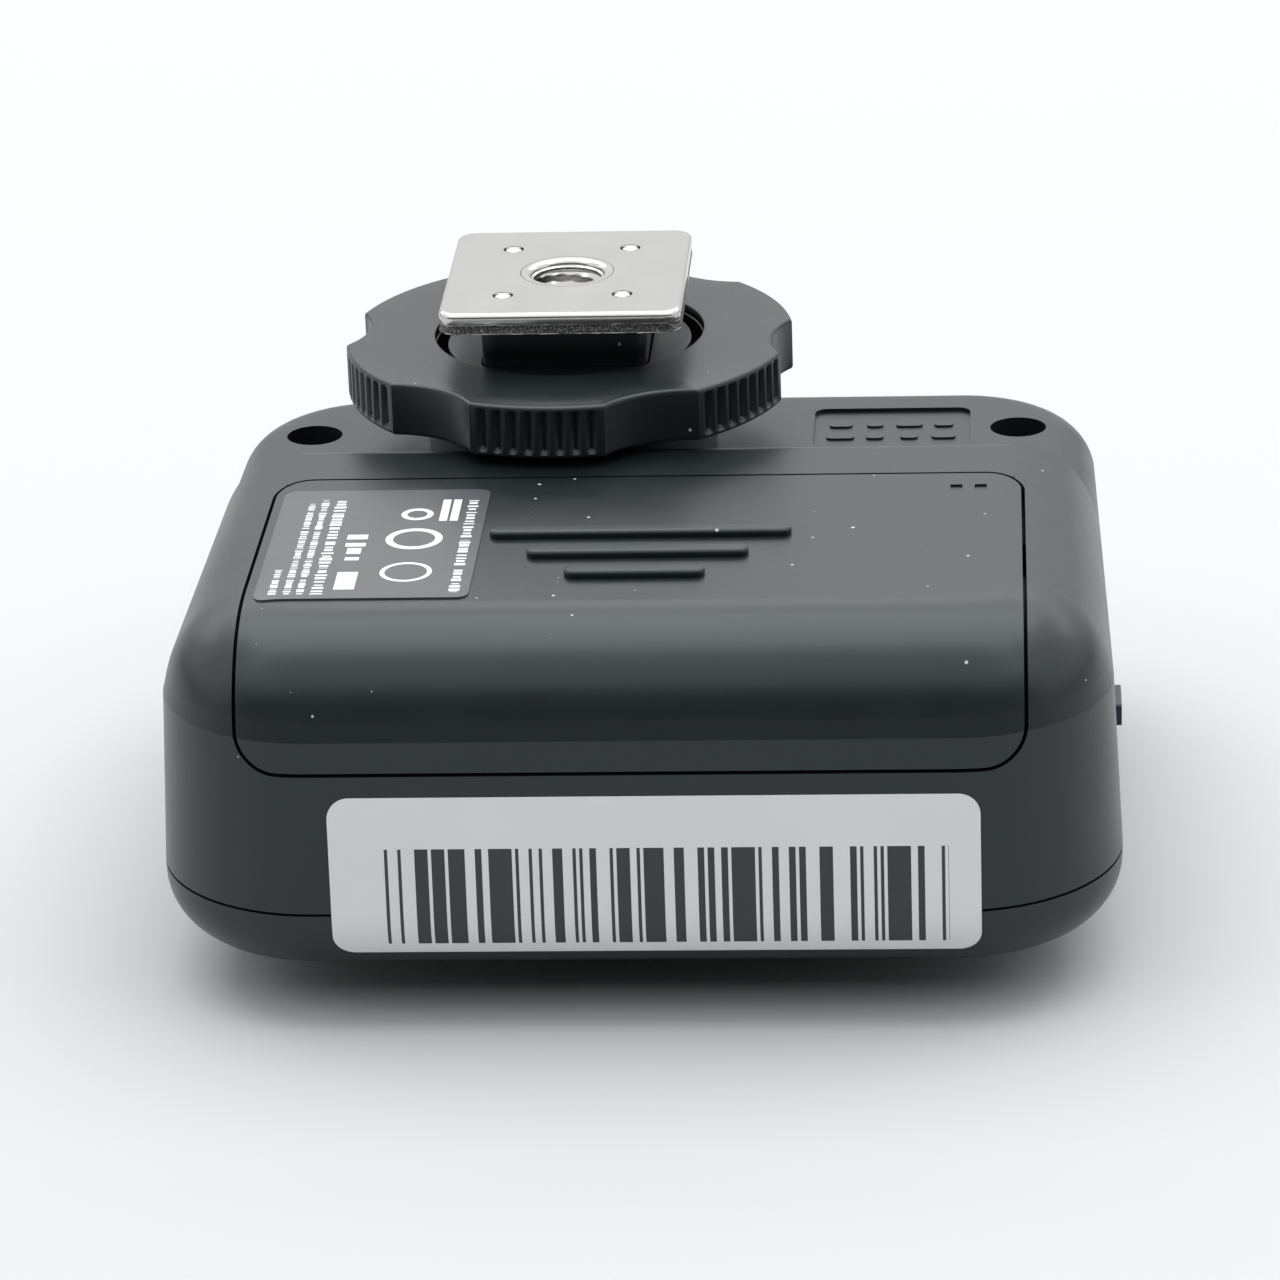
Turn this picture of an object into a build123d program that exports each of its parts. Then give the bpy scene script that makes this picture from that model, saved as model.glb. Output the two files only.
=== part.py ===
from build123d import *
import os
from math import cos, radians, sin, tan

os.makedirs("parts", exist_ok=True)

# A radio receiver and trigger for studio flash, lying with its mounting foot upwards and its
# accessory shoe on the table. +X is to the right, +Y runs from the battery end to the foot end,
# +Z is up, and the origin is under the middle of the whole object. All sizes in millimetres.

# ---- Driving sizes: housing -----------------------------------------------------------------
body_width = 70.0            # widest, at the parting line
side_narrowing = 1.0         # each side comes in this much from the near to the far end
terrace_depth = 24.05        # low far part, from the end of the door level to the far wall
near_corner = 12.0           # plan radius of the two near corners
far_corner = 11.0            # plan radius of the two far corners
wall = 1.6                   # moulded wall
draft = 2.7                  # degrees, side walls lean in above the parting line
crease_height = 13.0         # of the crease above the parting line
shoulder_draft = 14.0        # degrees, the walls lean more above the crease
near_round = 8.0             # rounding along the top of the near and side walls
level_end_round = 3.0        # top edge of the door level at its far end
level_end_corner = 6.0       # plan radius of the door level at its far end
rim_behind_door = 8.5        # door level that is left beyond the door
terrace_drop = 4.1           # terrace below the door level
terrace_round = 4.2
base_round = 4.6
base_depth = 5.4             # shoe side cover, below the parting line
parting_gap = 0.2            # visible line between the covers
nose_half_width = 18.2       # bulge of the far wall round the foot
nose_reach = 17.5            # from the foot's axis to the far end
nose_root = 5.0              # of the bulge, hidden in the housing
nose_corner = 7.0
nose_round = 4.5

# ---- Driving sizes: batteries and door --------------------------------------------------------
battery_diameter = 14.5
battery_length = 50.5        # with its button
battery_gap = 0.5            # between the two cells
battery_side_gap = 0.45      # from a cell to the near or far bay wall
battery_under = 0.35
battery_over = 0.55
bay_near_wall = 2.5          # near face to the inside of the bay
bay_end_room = 2.15          # contacts, at each end of a cell
bay_floor = 1.2
bay_wall = 1.8
door_thickness = 1.4
door_gap = 0.28              # seam round the door
door_under_gap = 0.15        # from the door to what it lies over
door_half_width = 27.9
door_far_overlap = 0.55      # door beyond the bay's far wall
door_corner = 2.8
door_lower_edge = 10.7       # of the door, above the parting line
door_travel = 7.0            # slides this far, then lifts off
tab_from_near = 24.0         # catch on each side of the door, from the near face
tab_length = 6.0
tab_height = 1.0
tab_hang = 2.8               # below the door's underside
tab_leg = 0.9
tongue_x = 14.0              # tongues along the door's far edge
tongue_width = 8.0
tongue_reach = 0.8
tongue_drop = 0.3            # below the door's underside
tongue_height = 0.7
rib_height = 0.6
rib_width = 1.5
rib_pitch = 4.0
rib_half_lengths = (5.1, 8.1, 11.1)
rib_first = 13.5             # nearest rib, from the near face

# ---- Driving sizes: board and lower fittings ------------------------------------------------
shoe_clear = 3.8             # the shoe side cover above the table, which is the shoe's height
board_thickness = 1.6
board_above_parting = 1.0    # board's upper face above the parting line
board_room = 1.5             # parts on the board, under the bay
board_inset = 3.4

# ---- Driving sizes: foot ---------------------------------------------------------------------
foot_x = -7.1                # the foot stands left of the middle
foot_from_far = 13.3         # foot's axis from the far wall
plate_width = 18.6           # accessory shoe standard
plate_length = 20.3
plate_thickness = 1.6
plate_corner = 1.5
plate_edge = 0.4
pin_diameter = 1.5
pin_x = 4.6
pin_inset = 0.8              # from the stem's near and far sides to the pins' axes
pin_sink = 0.12
thread_bore = 5.2            # 1/4 inch 20 thread, at its crests
thread_entry = 6.1
thread_depth = 9.0
bush_head = 7.2
bush_body = 9.0
pedestal_diameter = 22.6
pedestal_clear = 0.6
stem_width = 12.8
plate_above_ring = 3.2       # free height between the ring and the plate, at rest

# ---- Driving sizes: lock ring ----------------------------------------------------------------
ring_radius = 17.45
ring_height = 4.3
ring_above_door = 0.8
ring_lobes = 6
ring_lobe_half_angle = 17.3
ring_lobe_turn = -5.0        # middle of the nearest lobe, from straight towards the near end
ring_scallop_depth = 1.5
ring_grooves = 8
groove_pitch = 4.0           # degrees
groove_depth = 0.45
ring_recess = 21.0
ring_recess_depth = 0.8
ring_edge = 0.35
sleeve_diameter = 19.0
turn_gap = 0.15              # between a turning piece and its bearing
key_gap = 0.15               # between the sleeve and the stem it slides on
ring_lift = 2.4              # one turn of the ring
pedestal_under_ring = 0.4

# ---- Driving sizes: screws --------------------------------------------------------------------
case_screw_x = 27.8
case_screw_from_foot = 1.8   # beyond the foot's axis
case_screw_head = 3.8
case_screw_shank = 2.2
case_screw_head_height = 1.5
case_screw_length = 6.5
screw_well = 4.4
screw_gap = 0.05
boss_diameter = 6.2
inner_screw_x = 19.0
ledge_height = 4.0           # of the wells' floors above the parting line

# ---- Driving sizes: accessory shoe on the table side -------------------------------------------
rail_gauge = 1.2
rail_inner = 18.75           # between the rails
rail_mouth = 12.6            # between the lips
rail_length = 19.0
rail_slot = 2.2
rail_screw_x = 7.7
rail_screw_y = 7.2
rail_screw_head = 2.8
rail_screw_shank = 1.6
block_width = 11.0
block_length = 15.0
block_proud = 0.15
pocket_gap = 0.1
shoe_pad_thickness = 0.8

# ---- Driving sizes: display and buttons --------------------------------------------------------
window_width = 31.0
window_length = 15.0
window_thickness = 1.1
window_from_near = 6.0
window_corner = 1.5
window_ledge = 1.2
module_thickness = 2.4
module_inset = 0.5
button_xs = (-15.0, 15.0)    # channel and group
button_diameter = 6.5
test_diameter = 9.0
button_from_foot = 3.0
button_proud = 0.7
button_flange = 0.8
button_flange_height = 0.7
button_gap = 0.15
button_travel = 0.35
nub_diameter = 2.5
tact_size = 5.0
tact_height = 1.0
tact_plunger = 0.5
tact_free = 0.45             # from a button's nub to its switch
lamp_diameter = 2.0
lamp_edge = 0.4
lamp_from_test = 8.0

# ---- Driving sizes: sockets and power switch ----------------------------------------------------
knob_from_near = 29.0
knob_length = 4.2
knob_height = 1.8
knob_proud = 0.7
knob_travel = 2.0
knob_flange = 0.7
switch_beside_bay = 0.14     # from the bay's side wall to the switch
switch_length = 9.0
switch_height = 4.8
jack_beyond_usb = 8.0        # from one socket's axis to the other's
jack_size = 6.0
jack_length = 11.0
jack_barrel = 5.4
jack_bore = 2.6
usb_beyond_bay = 0.5         # from the bay's far wall to the socket
usb_width = 7.6
usb_height = 2.7
usb_depth = 5.4
usb_sheet = 0.4
usb_above_board = 0.1

# ---- Driving sizes: labels and marks -------------------------------------------------------------
label_thickness = 0.12
info_label = (-27.2, -11.7, 9.2, 30.9)       # left, right, nearest and farthest from the near face
serial_label = (-21.6, 24.75, 5.9, 18.05)    # left, right, lowest and highest above the table
info_corner = 0.9
serial_corner = 1.6
panel_width = 12.3
panel_length = 8.8
panel_x = 17.9
panel_from_foot = 2.1
panel_depth = 0.3
panel_corner = 1.0
panel_pitch = 2.7
panel_bar = 1.3
panel_relief = 0.15
panel_rows = ((1.8, 1.3, 2.1, 1.5), (2.2, 1.4, 1.4, 1.9))
mark_width = 0.9
mark_length = 1.3
mark_depth = 0.15
mark_pitch = 1.8
mark_from_corner = 3.0       # of the door's far right corner

# ---- Driving sizes: small fittings --------------------------------------------------------------
battery_button = 5.5
battery_button_height = 1.2
battery_edge = 0.6
contact_gauge = 0.3
contact_size = 8.0
contact_stud = 4.5
contact_clear = 0.05
spring_wire = 0.45
spring_radius = 2.7
spring_turns = 2.0
rib_edge = 0.35
drive_size = 1.6
drive_floor = 0.6
mount_reach = 6.9            # foot's fixing screws, from its axis along X and along Y
mount_head = 3.6
mount_head_height = 1.2
mount_shank = 1.8
mount_length = 5.0
pedestal_edge = 0.5
stem_corner = 1.2
sleeve_flange = 21.0
flange_height = 0.6
board_gap = 0.3
module_plan = (18.0, 12.0)
radio_height = 1.2
button_edge = 0.5
button_flange_gap = 0.1
knob_gap = 0.12
knob_corner = 0.4
shoe_pad = 1.8
shoe_pad_margin = 2.0
shoe_pad_corner = 1.0
usb_gap = 0.1
jack_sink = 0.1              # socket faces behind the wall's outside
jack_wall_gap = 0.3
rail_bend = 0.8
centre_contact = 2.8
side_contact = 1.6
contact_pad = 0.5
rail_screw_sink = 0.8
head_sink = 0.1

past = 1.0                   # cutting forms run this far past what they cut
into = 0.5                   # joined forms run this far into each other
screw_room = 0.3             # screw holes run this far past the screw's end
catch_play = 0.15            # round the door's catches
bay_lip = 1.0                # of the bay's wall above the door's lower edge
boss_above_board = 0.8
test_beyond = 3.0            # test button, from the other two
small_corner = 0.5           # of blocks on the board
knob_over = 1.0              # flange beyond the knob, each end
knob_rise = 0.7
side_contact_x = 3.6
side_contact_y = 4.5
shoe_drive = 0.9
shoe_drive_depth = 0.5
usb_tongue_width = 4.2
usb_tongue_height = 0.5
usb_tongue_sink = 0.8
usb_corner = 0.8

# ---- Worked out from those -------------------------------------------------------------------
parting_z = shoe_clear + base_depth
board_top = parting_z + board_above_parting
board_bottom = board_top - board_thickness
bay_floor_z = board_top + board_room + bay_floor
cell_z = bay_floor_z + battery_under + battery_diameter / 2
door_z = bay_floor_z + battery_under + battery_diameter + battery_over + door_thickness
terrace_z = door_z - terrace_drop
bay_depth = 2 * battery_diameter + battery_gap + 2 * battery_side_gap
door_far_from_near = bay_near_wall + bay_depth + door_far_overlap
level_end_from_near = door_far_from_near + rim_behind_door
body_depth = level_end_from_near + terrace_depth
foot_from_near = body_depth - foot_from_far
whole_depth = foot_from_near + nose_reach
near = -whole_depth / 2
far = near + body_depth
foot_y = near + foot_from_near
bay_near = near + bay_near_wall
bay_far = bay_near + bay_depth
bay_half = battery_length / 2 + bay_end_room
door_far = near + door_far_from_near
level_end = near + level_end_from_near
door_low_z = parting_z + door_lower_edge
cell_ys = (
    bay_near + battery_side_gap + battery_diameter / 2,
    bay_far - battery_side_gap - battery_diameter / 2,
)
ring_bottom = door_z + ring_above_door
ring_top = ring_bottom + ring_height
plate_bottom = ring_top + plate_above_ring
plate_top = plate_bottom + plate_thickness
pedestal_top = ring_bottom - pedestal_under_ring
crease_z = parting_z + crease_height
lean = tan(radians(draft))
narrow = side_narrowing / body_depth


def side_x(y, z):
    """Half width of the housing wall at a place along it and a height."""
    return body_width / 2 + (near_corner - (y - near)) * narrow - (z - parting_z) * lean


# ---- Forms that several pieces share -----------------------------------------------------------
def body_plan(inset, height):
    """Plan of the housing at the parting line, moved in by inset, at a height."""
    near_half = body_width / 2 + near_corner * narrow
    far_half = near_half - side_narrowing
    with BuildSketch(Plane.XY.offset(height)) as plan:
        with BuildLine():
            Polyline(
                (-near_half, near),
                (near_half, near),
                (far_half, far),
                (-far_half, far),
                close=True,
            )
        make_face()
        fillet(plan.vertices().group_by(Axis.Y)[0], near_corner)
        fillet(plan.vertices().group_by(Axis.Y)[-1], far_corner)
        if inset:
            offset(amount=-inset)
    return plan.sketch


def nose_plan(inset, height):
    """Plan of the bulge of the far wall round the foot."""
    half = nose_half_width - inset
    reach = nose_reach - inset
    with BuildSketch(Plane.XY.offset(height)) as plan:
        with Locations((foot_x, foot_y + (reach - nose_root) / 2)):
            RectangleRounded(2 * half, reach + nose_root, nose_corner - inset)
    return plan.sketch


def shoulder(inset, top, rounding):
    """Block with a flat top and rounded top edges, standing on the crease."""
    height = top - inset - crease_z
    slant = height / cos(radians(shoulder_draft))
    most = 0.95 * slant / tan(radians(90 - shoulder_draft) / 2)
    with BuildPart() as block:
        add(body_plan(inset + crease_height * lean, crease_z))
        extrude(amount=height, taper=shoulder_draft)
        fillet(block.faces().sort_by(Axis.Z)[-1].edges(), min(rounding - inset, most))
    return block.part


def level_block(inset):
    """Block that ends the door level at the step down to the terrace."""
    end = level_end - inset
    with BuildPart() as block:
        with BuildSketch(Plane.XY.offset(crease_z)) as plan:
            with Locations((0, end - body_depth / 2)):
                Rectangle(body_width + 2 * past, body_depth)
            fillet(plan.vertices().group_by(Axis.Y)[-1], level_end_corner - inset)
        extrude(amount=door_z - inset - crease_z)
        rim = block.faces().sort_by(Axis.Z)[-1].edges()
        fillet(rim.filter_by_position(Axis.Y, near, end + past), level_end_round - inset)
    return block.part


def wall_block(inset):
    """Leaning side walls, from the parting line to the crease."""
    with BuildPart() as block:
        add(body_plan(inset, parting_z))
        extrude(amount=crease_height, taper=draft)
    return block.part


def nose_block(inset):
    """Bulge round the foot, above the parting line."""
    with BuildPart() as block:
        add(nose_plan(inset, parting_z))
        extrude(amount=terrace_z - inset - parting_z, taper=draft)
        fillet(block.faces().sort_by(Axis.Z)[-1].edges(), nose_round - inset)
    return block.part


def upper_form(inset):
    """Battery side of the housing as a solid, moved in by inset all round."""
    with BuildPart() as form:
        add(shoulder(inset, door_z, near_round))
        add(level_block(inset), mode=Mode.INTERSECT)
        add(shoulder(inset, terrace_z, terrace_round))
        add(wall_block(inset))
        add(nose_block(inset))
    return form.part


def lower_block(plan, inset):
    """One plan of the shoe side carried down to its rounded lower edge."""
    with BuildPart() as block:
        add(plan)
        extrude(amount=inset - base_depth)
        fillet(block.faces().sort_by(Axis.Z)[0].edges(), base_round - inset)
    return block.part


def lower_form(inset):
    """Shoe side of the housing as a solid, moved in by inset all round."""
    with BuildPart() as form:
        add(lower_block(body_plan(inset, parting_z), inset))
        add(lower_block(nose_plan(inset, parting_z), inset))
    return form.part


def prism(width, length, low, high, at, corner=0.0):
    """Upright block of a given plan between two heights, at a point of the plan."""
    with BuildPart() as block:
        with BuildSketch(Plane.XY.offset(low)):
            with Locations(at):
                if corner:
                    RectangleRounded(width, length, corner)
                else:
                    Rectangle(width, length)
        extrude(amount=high - low)
    return block.part


def rod(diameter, low, high, places):
    """Upright round rods between two heights, at points of the plan."""
    with BuildPart() as rods:
        with BuildSketch(Plane.XY.offset(low)):
            with Locations(*places):
                Circle(diameter / 2)
        extrude(amount=high - low)
    return rods.part


def door_block(gap):
    """Region of the housing's skin that is the door, grown by gap."""
    half = door_half_width + gap
    with BuildPart() as block:
        with BuildSketch(Plane.XY.offset(door_low_z - gap)) as plan:
            with Locations((0, door_far + gap - body_depth / 2)):
                Rectangle(2 * half, body_depth)
            fillet(plan.vertices().group_by(Axis.Y)[-1], door_corner + gap)
        extrude(amount=door_z + rib_height + past - door_low_z + gap)
        low = block.edges().filter_by(Axis.Y).group_by(Axis.Z)[0]
        fillet(low, door_corner + gap)
    return block.part


def finish(piece, name):
    """Label a finished piece and write its file."""
    piece.part.label = name
    export_step(piece.part, "parts/" + name + ".step")


# ---- Places that several pieces share --------------------------------------------------------------
case_y = foot_y + case_screw_from_foot
inner_y = (cell_ys[0] + cell_ys[1]) / 2
case_places = [(-case_screw_x, case_y), (case_screw_x, case_y)]
inner_places = [(-inner_screw_x, inner_y), (inner_screw_x, inner_y)]
ledge_z = parting_z + ledge_height
boss_top = board_top + boss_above_board
cavity_floor = shoe_clear + wall
cavity_skin = cavity_floor - into / 2
skin_low = terrace_z - wall
case_hole = case_screw_shank + 2 * screw_gap
mount_hole = mount_shank + 2 * screw_gap
rail_screw_hole = rail_screw_shank + 2 * screw_gap
floor_top = bay_floor_z
floor_bottom = bay_floor_z - bay_floor
button_y = foot_y + button_from_foot
test_place = (0, button_y + test_beyond)
lamp_place = (test_place[0], test_place[1] - lamp_from_test)
button_places = [(x, button_y) for x in button_xs]
tact_places = button_places + [test_place]
knob_y = near + knob_from_near
knob_z = board_top + switch_height / 2
usb_y = bay_far + bay_wall + usb_beyond_bay + usb_width / 2
jack_y = usb_y + jack_beyond_usb
mount_xs = (foot_x - mount_reach, foot_x + mount_reach)
mount_ys = (foot_y - mount_reach, foot_y + mount_reach)
mount_places = [(x, y) for x in mount_xs for y in mount_ys]
mount_hole_top = skin_low + mount_length + screw_room
all_case_places = case_places + inner_places
window_at = (0, near + window_from_near + window_length / 2)
panel_at = (panel_x, foot_y + panel_from_foot)
panel_low = terrace_z - panel_depth
radio_at = (0, inner_y)
mark_x = door_half_width - mark_from_corner
mark_places = [(mark_x, door_far - mark_from_corner), (mark_x - mark_pitch, door_far - mark_from_corner)]
wall_x_knob = side_x(knob_y, knob_z)
wall_x_jack = side_x(jack_y, board_top + jack_size / 2)
wall_x_usb = side_x(usb_y, board_top + usb_above_board + usb_height / 2)
jack_z = board_top + 0.1 + jack_size / 2
usb_z = board_top + usb_above_board + usb_height / 2
shoe_base_low = rail_gauge + rail_slot
shoe_base_high = shoe_base_low + rail_gauge
rail_outer = rail_inner + 2 * rail_gauge
rail_screw_places = [(x, y) for x in (-rail_screw_x, rail_screw_x) for y in (-rail_screw_y, rail_screw_y)]
shoe_pad_top = shoe_base_high + shoe_pad
shoe_pad_plan = (rail_outer + 2 * shoe_pad_margin, rail_length + 2 * shoe_pad_margin)
head_top = shoe_base_low + rail_screw_sink
pad_top = shoe_base_low + contact_pad
side_contacts = [(x, y) for x in (-side_contact_x, side_contact_x) for y in (-side_contact_y, side_contact_y)]
rail_screw_top = shoe_pad_top - screw_room / 2
screw_floor = min(ledge_z, floor_top) - case_screw_length - screw_room
flange_far = knob_y + knob_length / 2 + knob_over + knob_travel
flange_top = knob_z + knob_height / 2 + knob_rise
switch_outer = side_x(flange_far, flange_top) - wall - knob_flange - 2 * knob_gap
switch_inner = bay_half + bay_wall + switch_beside_bay
tab_y = near + tab_from_near + tab_length / 2
tab_low = door_z - door_thickness - tab_hang
upper = upper_form(0)
lower = lower_form(0)


def tongues(gap):
    """Tongues along the door's far edge, under the housing's skin, grown by gap."""
    low = door_z - door_thickness - tongue_drop - gap
    root = bay_far - past
    tip = door_far + tongue_reach + gap
    with BuildPart() as pair:
        with BuildSketch(Plane.XY.offset(low)):
            with Locations((-tongue_x, (root + tip) / 2), (tongue_x, (root + tip) / 2)):
                Rectangle(tongue_width + 2 * gap, tip - root)
        extrude(amount=tongue_height + 2 * gap)
    return pair.part


def tab_slots():
    """Room in the bay's end walls for the door's catches to slide and lift out."""
    outer = door_half_width + door_gap
    width = outer - bay_half + past
    length = tab_length + 2 * door_gap
    with BuildPart() as slots:
        for side in (-1, 1):
            middle = side * (outer - width / 2)
            run = (middle, tab_y - door_travel / 2)
            lift = (middle, tab_y - door_travel)
            slot_low = tab_low - catch_play
            add(prism(width, length + door_travel, slot_low, tab_low + tab_height + catch_play, run))
            add(prism(width, length, slot_low, door_z, lift))
    return slots.part


with BuildPart() as door_tabs:
    for side in (-1, 1):
        leg_outer = bay_half - door_under_gap
        leg = (side * (leg_outer - tab_leg / 2), tab_y)
        add(prism(tab_leg, tab_length, tab_low, door_z - door_thickness / 2, leg))
        tab_outer = door_half_width - screw_gap
        tab = (side * (tab_outer + leg_outer - tab_leg) / 2, tab_y)
        add(prism(tab_outer - leg_outer + tab_leg, tab_length, tab_low, tab_low + tab_height, tab))

slot_from = knob_y - knob_length / 2 - knob_gap
slot_to = knob_y + knob_length / 2 + knob_travel + knob_gap
knob_slot = prism(
    2 * (wall + past),
    slot_to - slot_from,
    knob_z - knob_height / 2 - knob_gap,
    knob_z + knob_height / 2 + knob_gap,
    (wall_x_knob, (slot_from + slot_to) / 2),
)
usb_hole = prism(
    2 * (wall + past),
    usb_width + 2 * usb_gap,
    usb_z - usb_height / 2 - usb_gap,
    usb_z + usb_height / 2 + usb_gap,
    (-wall_x_usb, usb_y),
)
with BuildPart() as jack_hole:
    with BuildSketch(Plane.YZ.offset(-wall_x_jack)):
        with Locations((jack_y, jack_z)):
            Circle(jack_barrel / 2 + screw_gap)
    extrude(amount=wall + past, both=True)

# ---- Battery side cover -----------------------------------------------------------------------------
tub = prism(
    2 * (bay_half + bay_wall),
    bay_depth + bay_near_wall + bay_wall,
    floor_bottom,
    door_z,
    (0, (near + bay_far + bay_wall) / 2),
)
bay = prism(2 * bay_half, bay_depth, floor_top, door_z + past, (0, (bay_near + bay_far) / 2))
bay_mouth = prism(
    2 * bay_half,
    bay_depth + past,
    door_low_z + bay_lip,
    door_z + past,
    (0, near + (bay_depth - past) / 2),
)

with BuildPart() as tub_inside:
    add(tub)
    add(upper_form(door_thickness + door_under_gap), mode=Mode.INTERSECT)

with BuildPart() as battery_side_cover:
    add(upper)
    add(upper_form(wall), mode=Mode.SUBTRACT)
    add(door_block(door_gap), mode=Mode.SUBTRACT)
    add(tub_inside.part)
    add(rod(boss_diameter, boss_top, terrace_z - wall / 2, case_places))
    add(bay, mode=Mode.SUBTRACT)
    add(bay_mouth, mode=Mode.SUBTRACT)
    add(tab_slots(), mode=Mode.SUBTRACT)
    add(tongues(door_gap), mode=Mode.SUBTRACT)
    add(rod(screw_well, ledge_z, terrace_z + past, case_places), mode=Mode.SUBTRACT)
    add(rod(case_hole, boss_top - past, ledge_z + past, case_places), mode=Mode.SUBTRACT)
    add(rod(case_hole, floor_bottom - past, floor_top + past, inner_places), mode=Mode.SUBTRACT)
    add(rod(mount_hole, skin_low - past, terrace_z + past, mount_places), mode=Mode.SUBTRACT)
    pedestal_room = pedestal_diameter + 2 * pedestal_clear
    add(rod(pedestal_room, terrace_z, door_z + past, [(foot_x, foot_y)]), mode=Mode.SUBTRACT)
    add(knob_slot, mode=Mode.SUBTRACT)
    add(jack_hole.part, mode=Mode.SUBTRACT)
    add(usb_hole, mode=Mode.SUBTRACT)
    panel = (panel_width, panel_length)
    add(prism(*panel, panel_low, terrace_z + past, panel_at, panel_corner), mode=Mode.SUBTRACT)
    for row, lengths in enumerate(panel_rows):
        for column, length in enumerate(lengths):
            at = (panel_at[0] + (column - 1.5) * panel_pitch, panel_at[1] + (0.5 - row) * panel_pitch)
            add(prism(length, panel_bar, panel_low - into, panel_low + panel_relief, at, panel_bar / 3))
finish(battery_side_cover, "battery_side_cover")

# ---- Shoe side cover ------------------------------------------------------------------------------
with BuildPart() as rim_gap:
    add(body_plan(-past, parting_z - parting_gap))
    add(nose_plan(-past, parting_z - parting_gap))
    extrude(amount=parting_gap + past)
    add(body_plan(wall / 2, parting_z - parting_gap))
    add(nose_plan(wall / 2, parting_z - parting_gap))
    extrude(amount=parting_gap + past, mode=Mode.SUBTRACT)

with BuildPart() as shoe_side_cover:
    add(lower)
    add(lower_form(wall), mode=Mode.SUBTRACT)
    add(rim_gap.part, mode=Mode.SUBTRACT)
    add(prism(*shoe_pad_plan, cavity_skin, shoe_pad_top, (0, 0), shoe_pad_corner))
    add(rod(boss_diameter, cavity_skin, boss_top, case_places))
    add(rod(boss_diameter, cavity_skin, floor_bottom, inner_places))
    add(rod(case_hole, screw_floor, floor_bottom + past, all_case_places), mode=Mode.SUBTRACT)
    pocket = (rail_outer + 2 * pocket_gap, rail_length + 2 * pocket_gap)
    add(prism(*pocket, shoe_clear - past, shoe_base_high, (0, 0)), mode=Mode.SUBTRACT)
    add(rod(rail_screw_hole, shoe_clear, rail_screw_top, rail_screw_places), mode=Mode.SUBTRACT)
    window_hole = (window_width + 2 * pocket_gap, window_length + 2 * pocket_gap)
    add(
        prism(*window_hole, shoe_clear - past, shoe_clear + window_thickness, window_at, window_corner),
        mode=Mode.SUBTRACT,
    )
    view = (window_width - 2 * window_ledge, window_length - 2 * window_ledge)
    add(prism(*view, shoe_clear, cavity_floor + past, window_at, window_corner / 2), mode=Mode.SUBTRACT)
    through = (shoe_clear - past, cavity_floor + past)
    add(rod(button_diameter + 2 * button_gap, *through, button_places), mode=Mode.SUBTRACT)
    add(rod(test_diameter + 2 * button_gap, *through, [test_place]), mode=Mode.SUBTRACT)
    add(rod(lamp_diameter + 2 * screw_gap, *through, [lamp_place]), mode=Mode.SUBTRACT)
finish(shoe_side_cover, "shoe_side_cover")

# ---- Battery door ---------------------------------------------------------------------------------
with BuildPart() as battery_door:
    add(upper)
    add(upper_form(door_thickness), mode=Mode.SUBTRACT)
    add(door_block(0), mode=Mode.INTERSECT)
    for index, half in enumerate(rib_half_lengths):
        with BuildSketch(Plane.XY.offset(door_z - door_thickness / 2)):
            with Locations((0, near + rib_first + index * rib_pitch)):
                SlotOverall(2 * half, rib_width)
        extrude(amount=rib_height + door_thickness / 2)
    fillet(battery_door.faces().filter_by(Axis.Z).group_by(Axis.Z)[-1].edges(), rib_edge)
    add(door_tabs.part)
    add(tongues(0))
    for place in mark_places:
        add(prism(mark_width, mark_length, door_z - mark_depth, door_z + past, place), mode=Mode.SUBTRACT)
finish(battery_door, "battery_door")

# ---- Batteries and their contacts -------------------------------------------------------------------
for name, y, turn in (("near_battery", cell_ys[0], 1), ("far_battery", cell_ys[1], -1)):
    with BuildPart() as cell:
        with BuildSketch(Plane.YZ.offset(-battery_length / 2)):
            with Locations((y, cell_z)):
                Circle(battery_diameter / 2)
        extrude(amount=battery_length - battery_button_height)
        fillet(cell.faces().filter_by(Axis.X).edges(), battery_edge)
        with BuildSketch(Plane.YZ.offset(battery_length / 2 - battery_button_height - into)):
            with Locations((y, cell_z)):
                Circle(battery_button / 2)
        extrude(amount=battery_button_height + into)
        if turn < 0:
            mirror(about=Plane.YZ, mode=Mode.REPLACE)
    finish(cell, name)

contact_inner = bay_half - contact_gauge
with BuildPart() as contact_plates:
    for y, turn in ((cell_ys[0], 1), (cell_ys[1], -1)):
        for side in (-1, 1):
            with BuildSketch(Plane.YZ.offset(side * (bay_half - contact_gauge / 2))):
                with Locations((y, cell_z)):
                    RectangleRounded(contact_size, contact_size, 1)
            extrude(amount=contact_gauge / 2 - contact_clear, both=True)
        with BuildSketch(Plane.YZ.offset(turn * (contact_inner + contact_clear))):
            with Locations((y, cell_z)):
                Circle(contact_stud / 2)
        extrude(amount=-turn * (bay_end_room - contact_gauge - contact_clear))
finish(contact_plates, "contact_plates")

for name, y, side in (("near_spring", cell_ys[0], -1), ("far_spring", cell_ys[1], 1)):
    room = bay_end_room - contact_gauge - spring_wire - 2 * contact_clear
    start = side * (battery_length / 2 + spring_wire / 2 + contact_clear)
    with BuildPart() as spring:
        with BuildLine() as coil:
            Helix(room / spring_turns, room, spring_radius, center=(start, y, cell_z), direction=(side, 0, 0))
        with BuildSketch(Plane(origin=coil.line @ 0, z_dir=coil.line % 0)):
            Circle(spring_wire / 2)
        sweep(path=coil.line, is_frenet=True)
    finish(spring, name)

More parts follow.
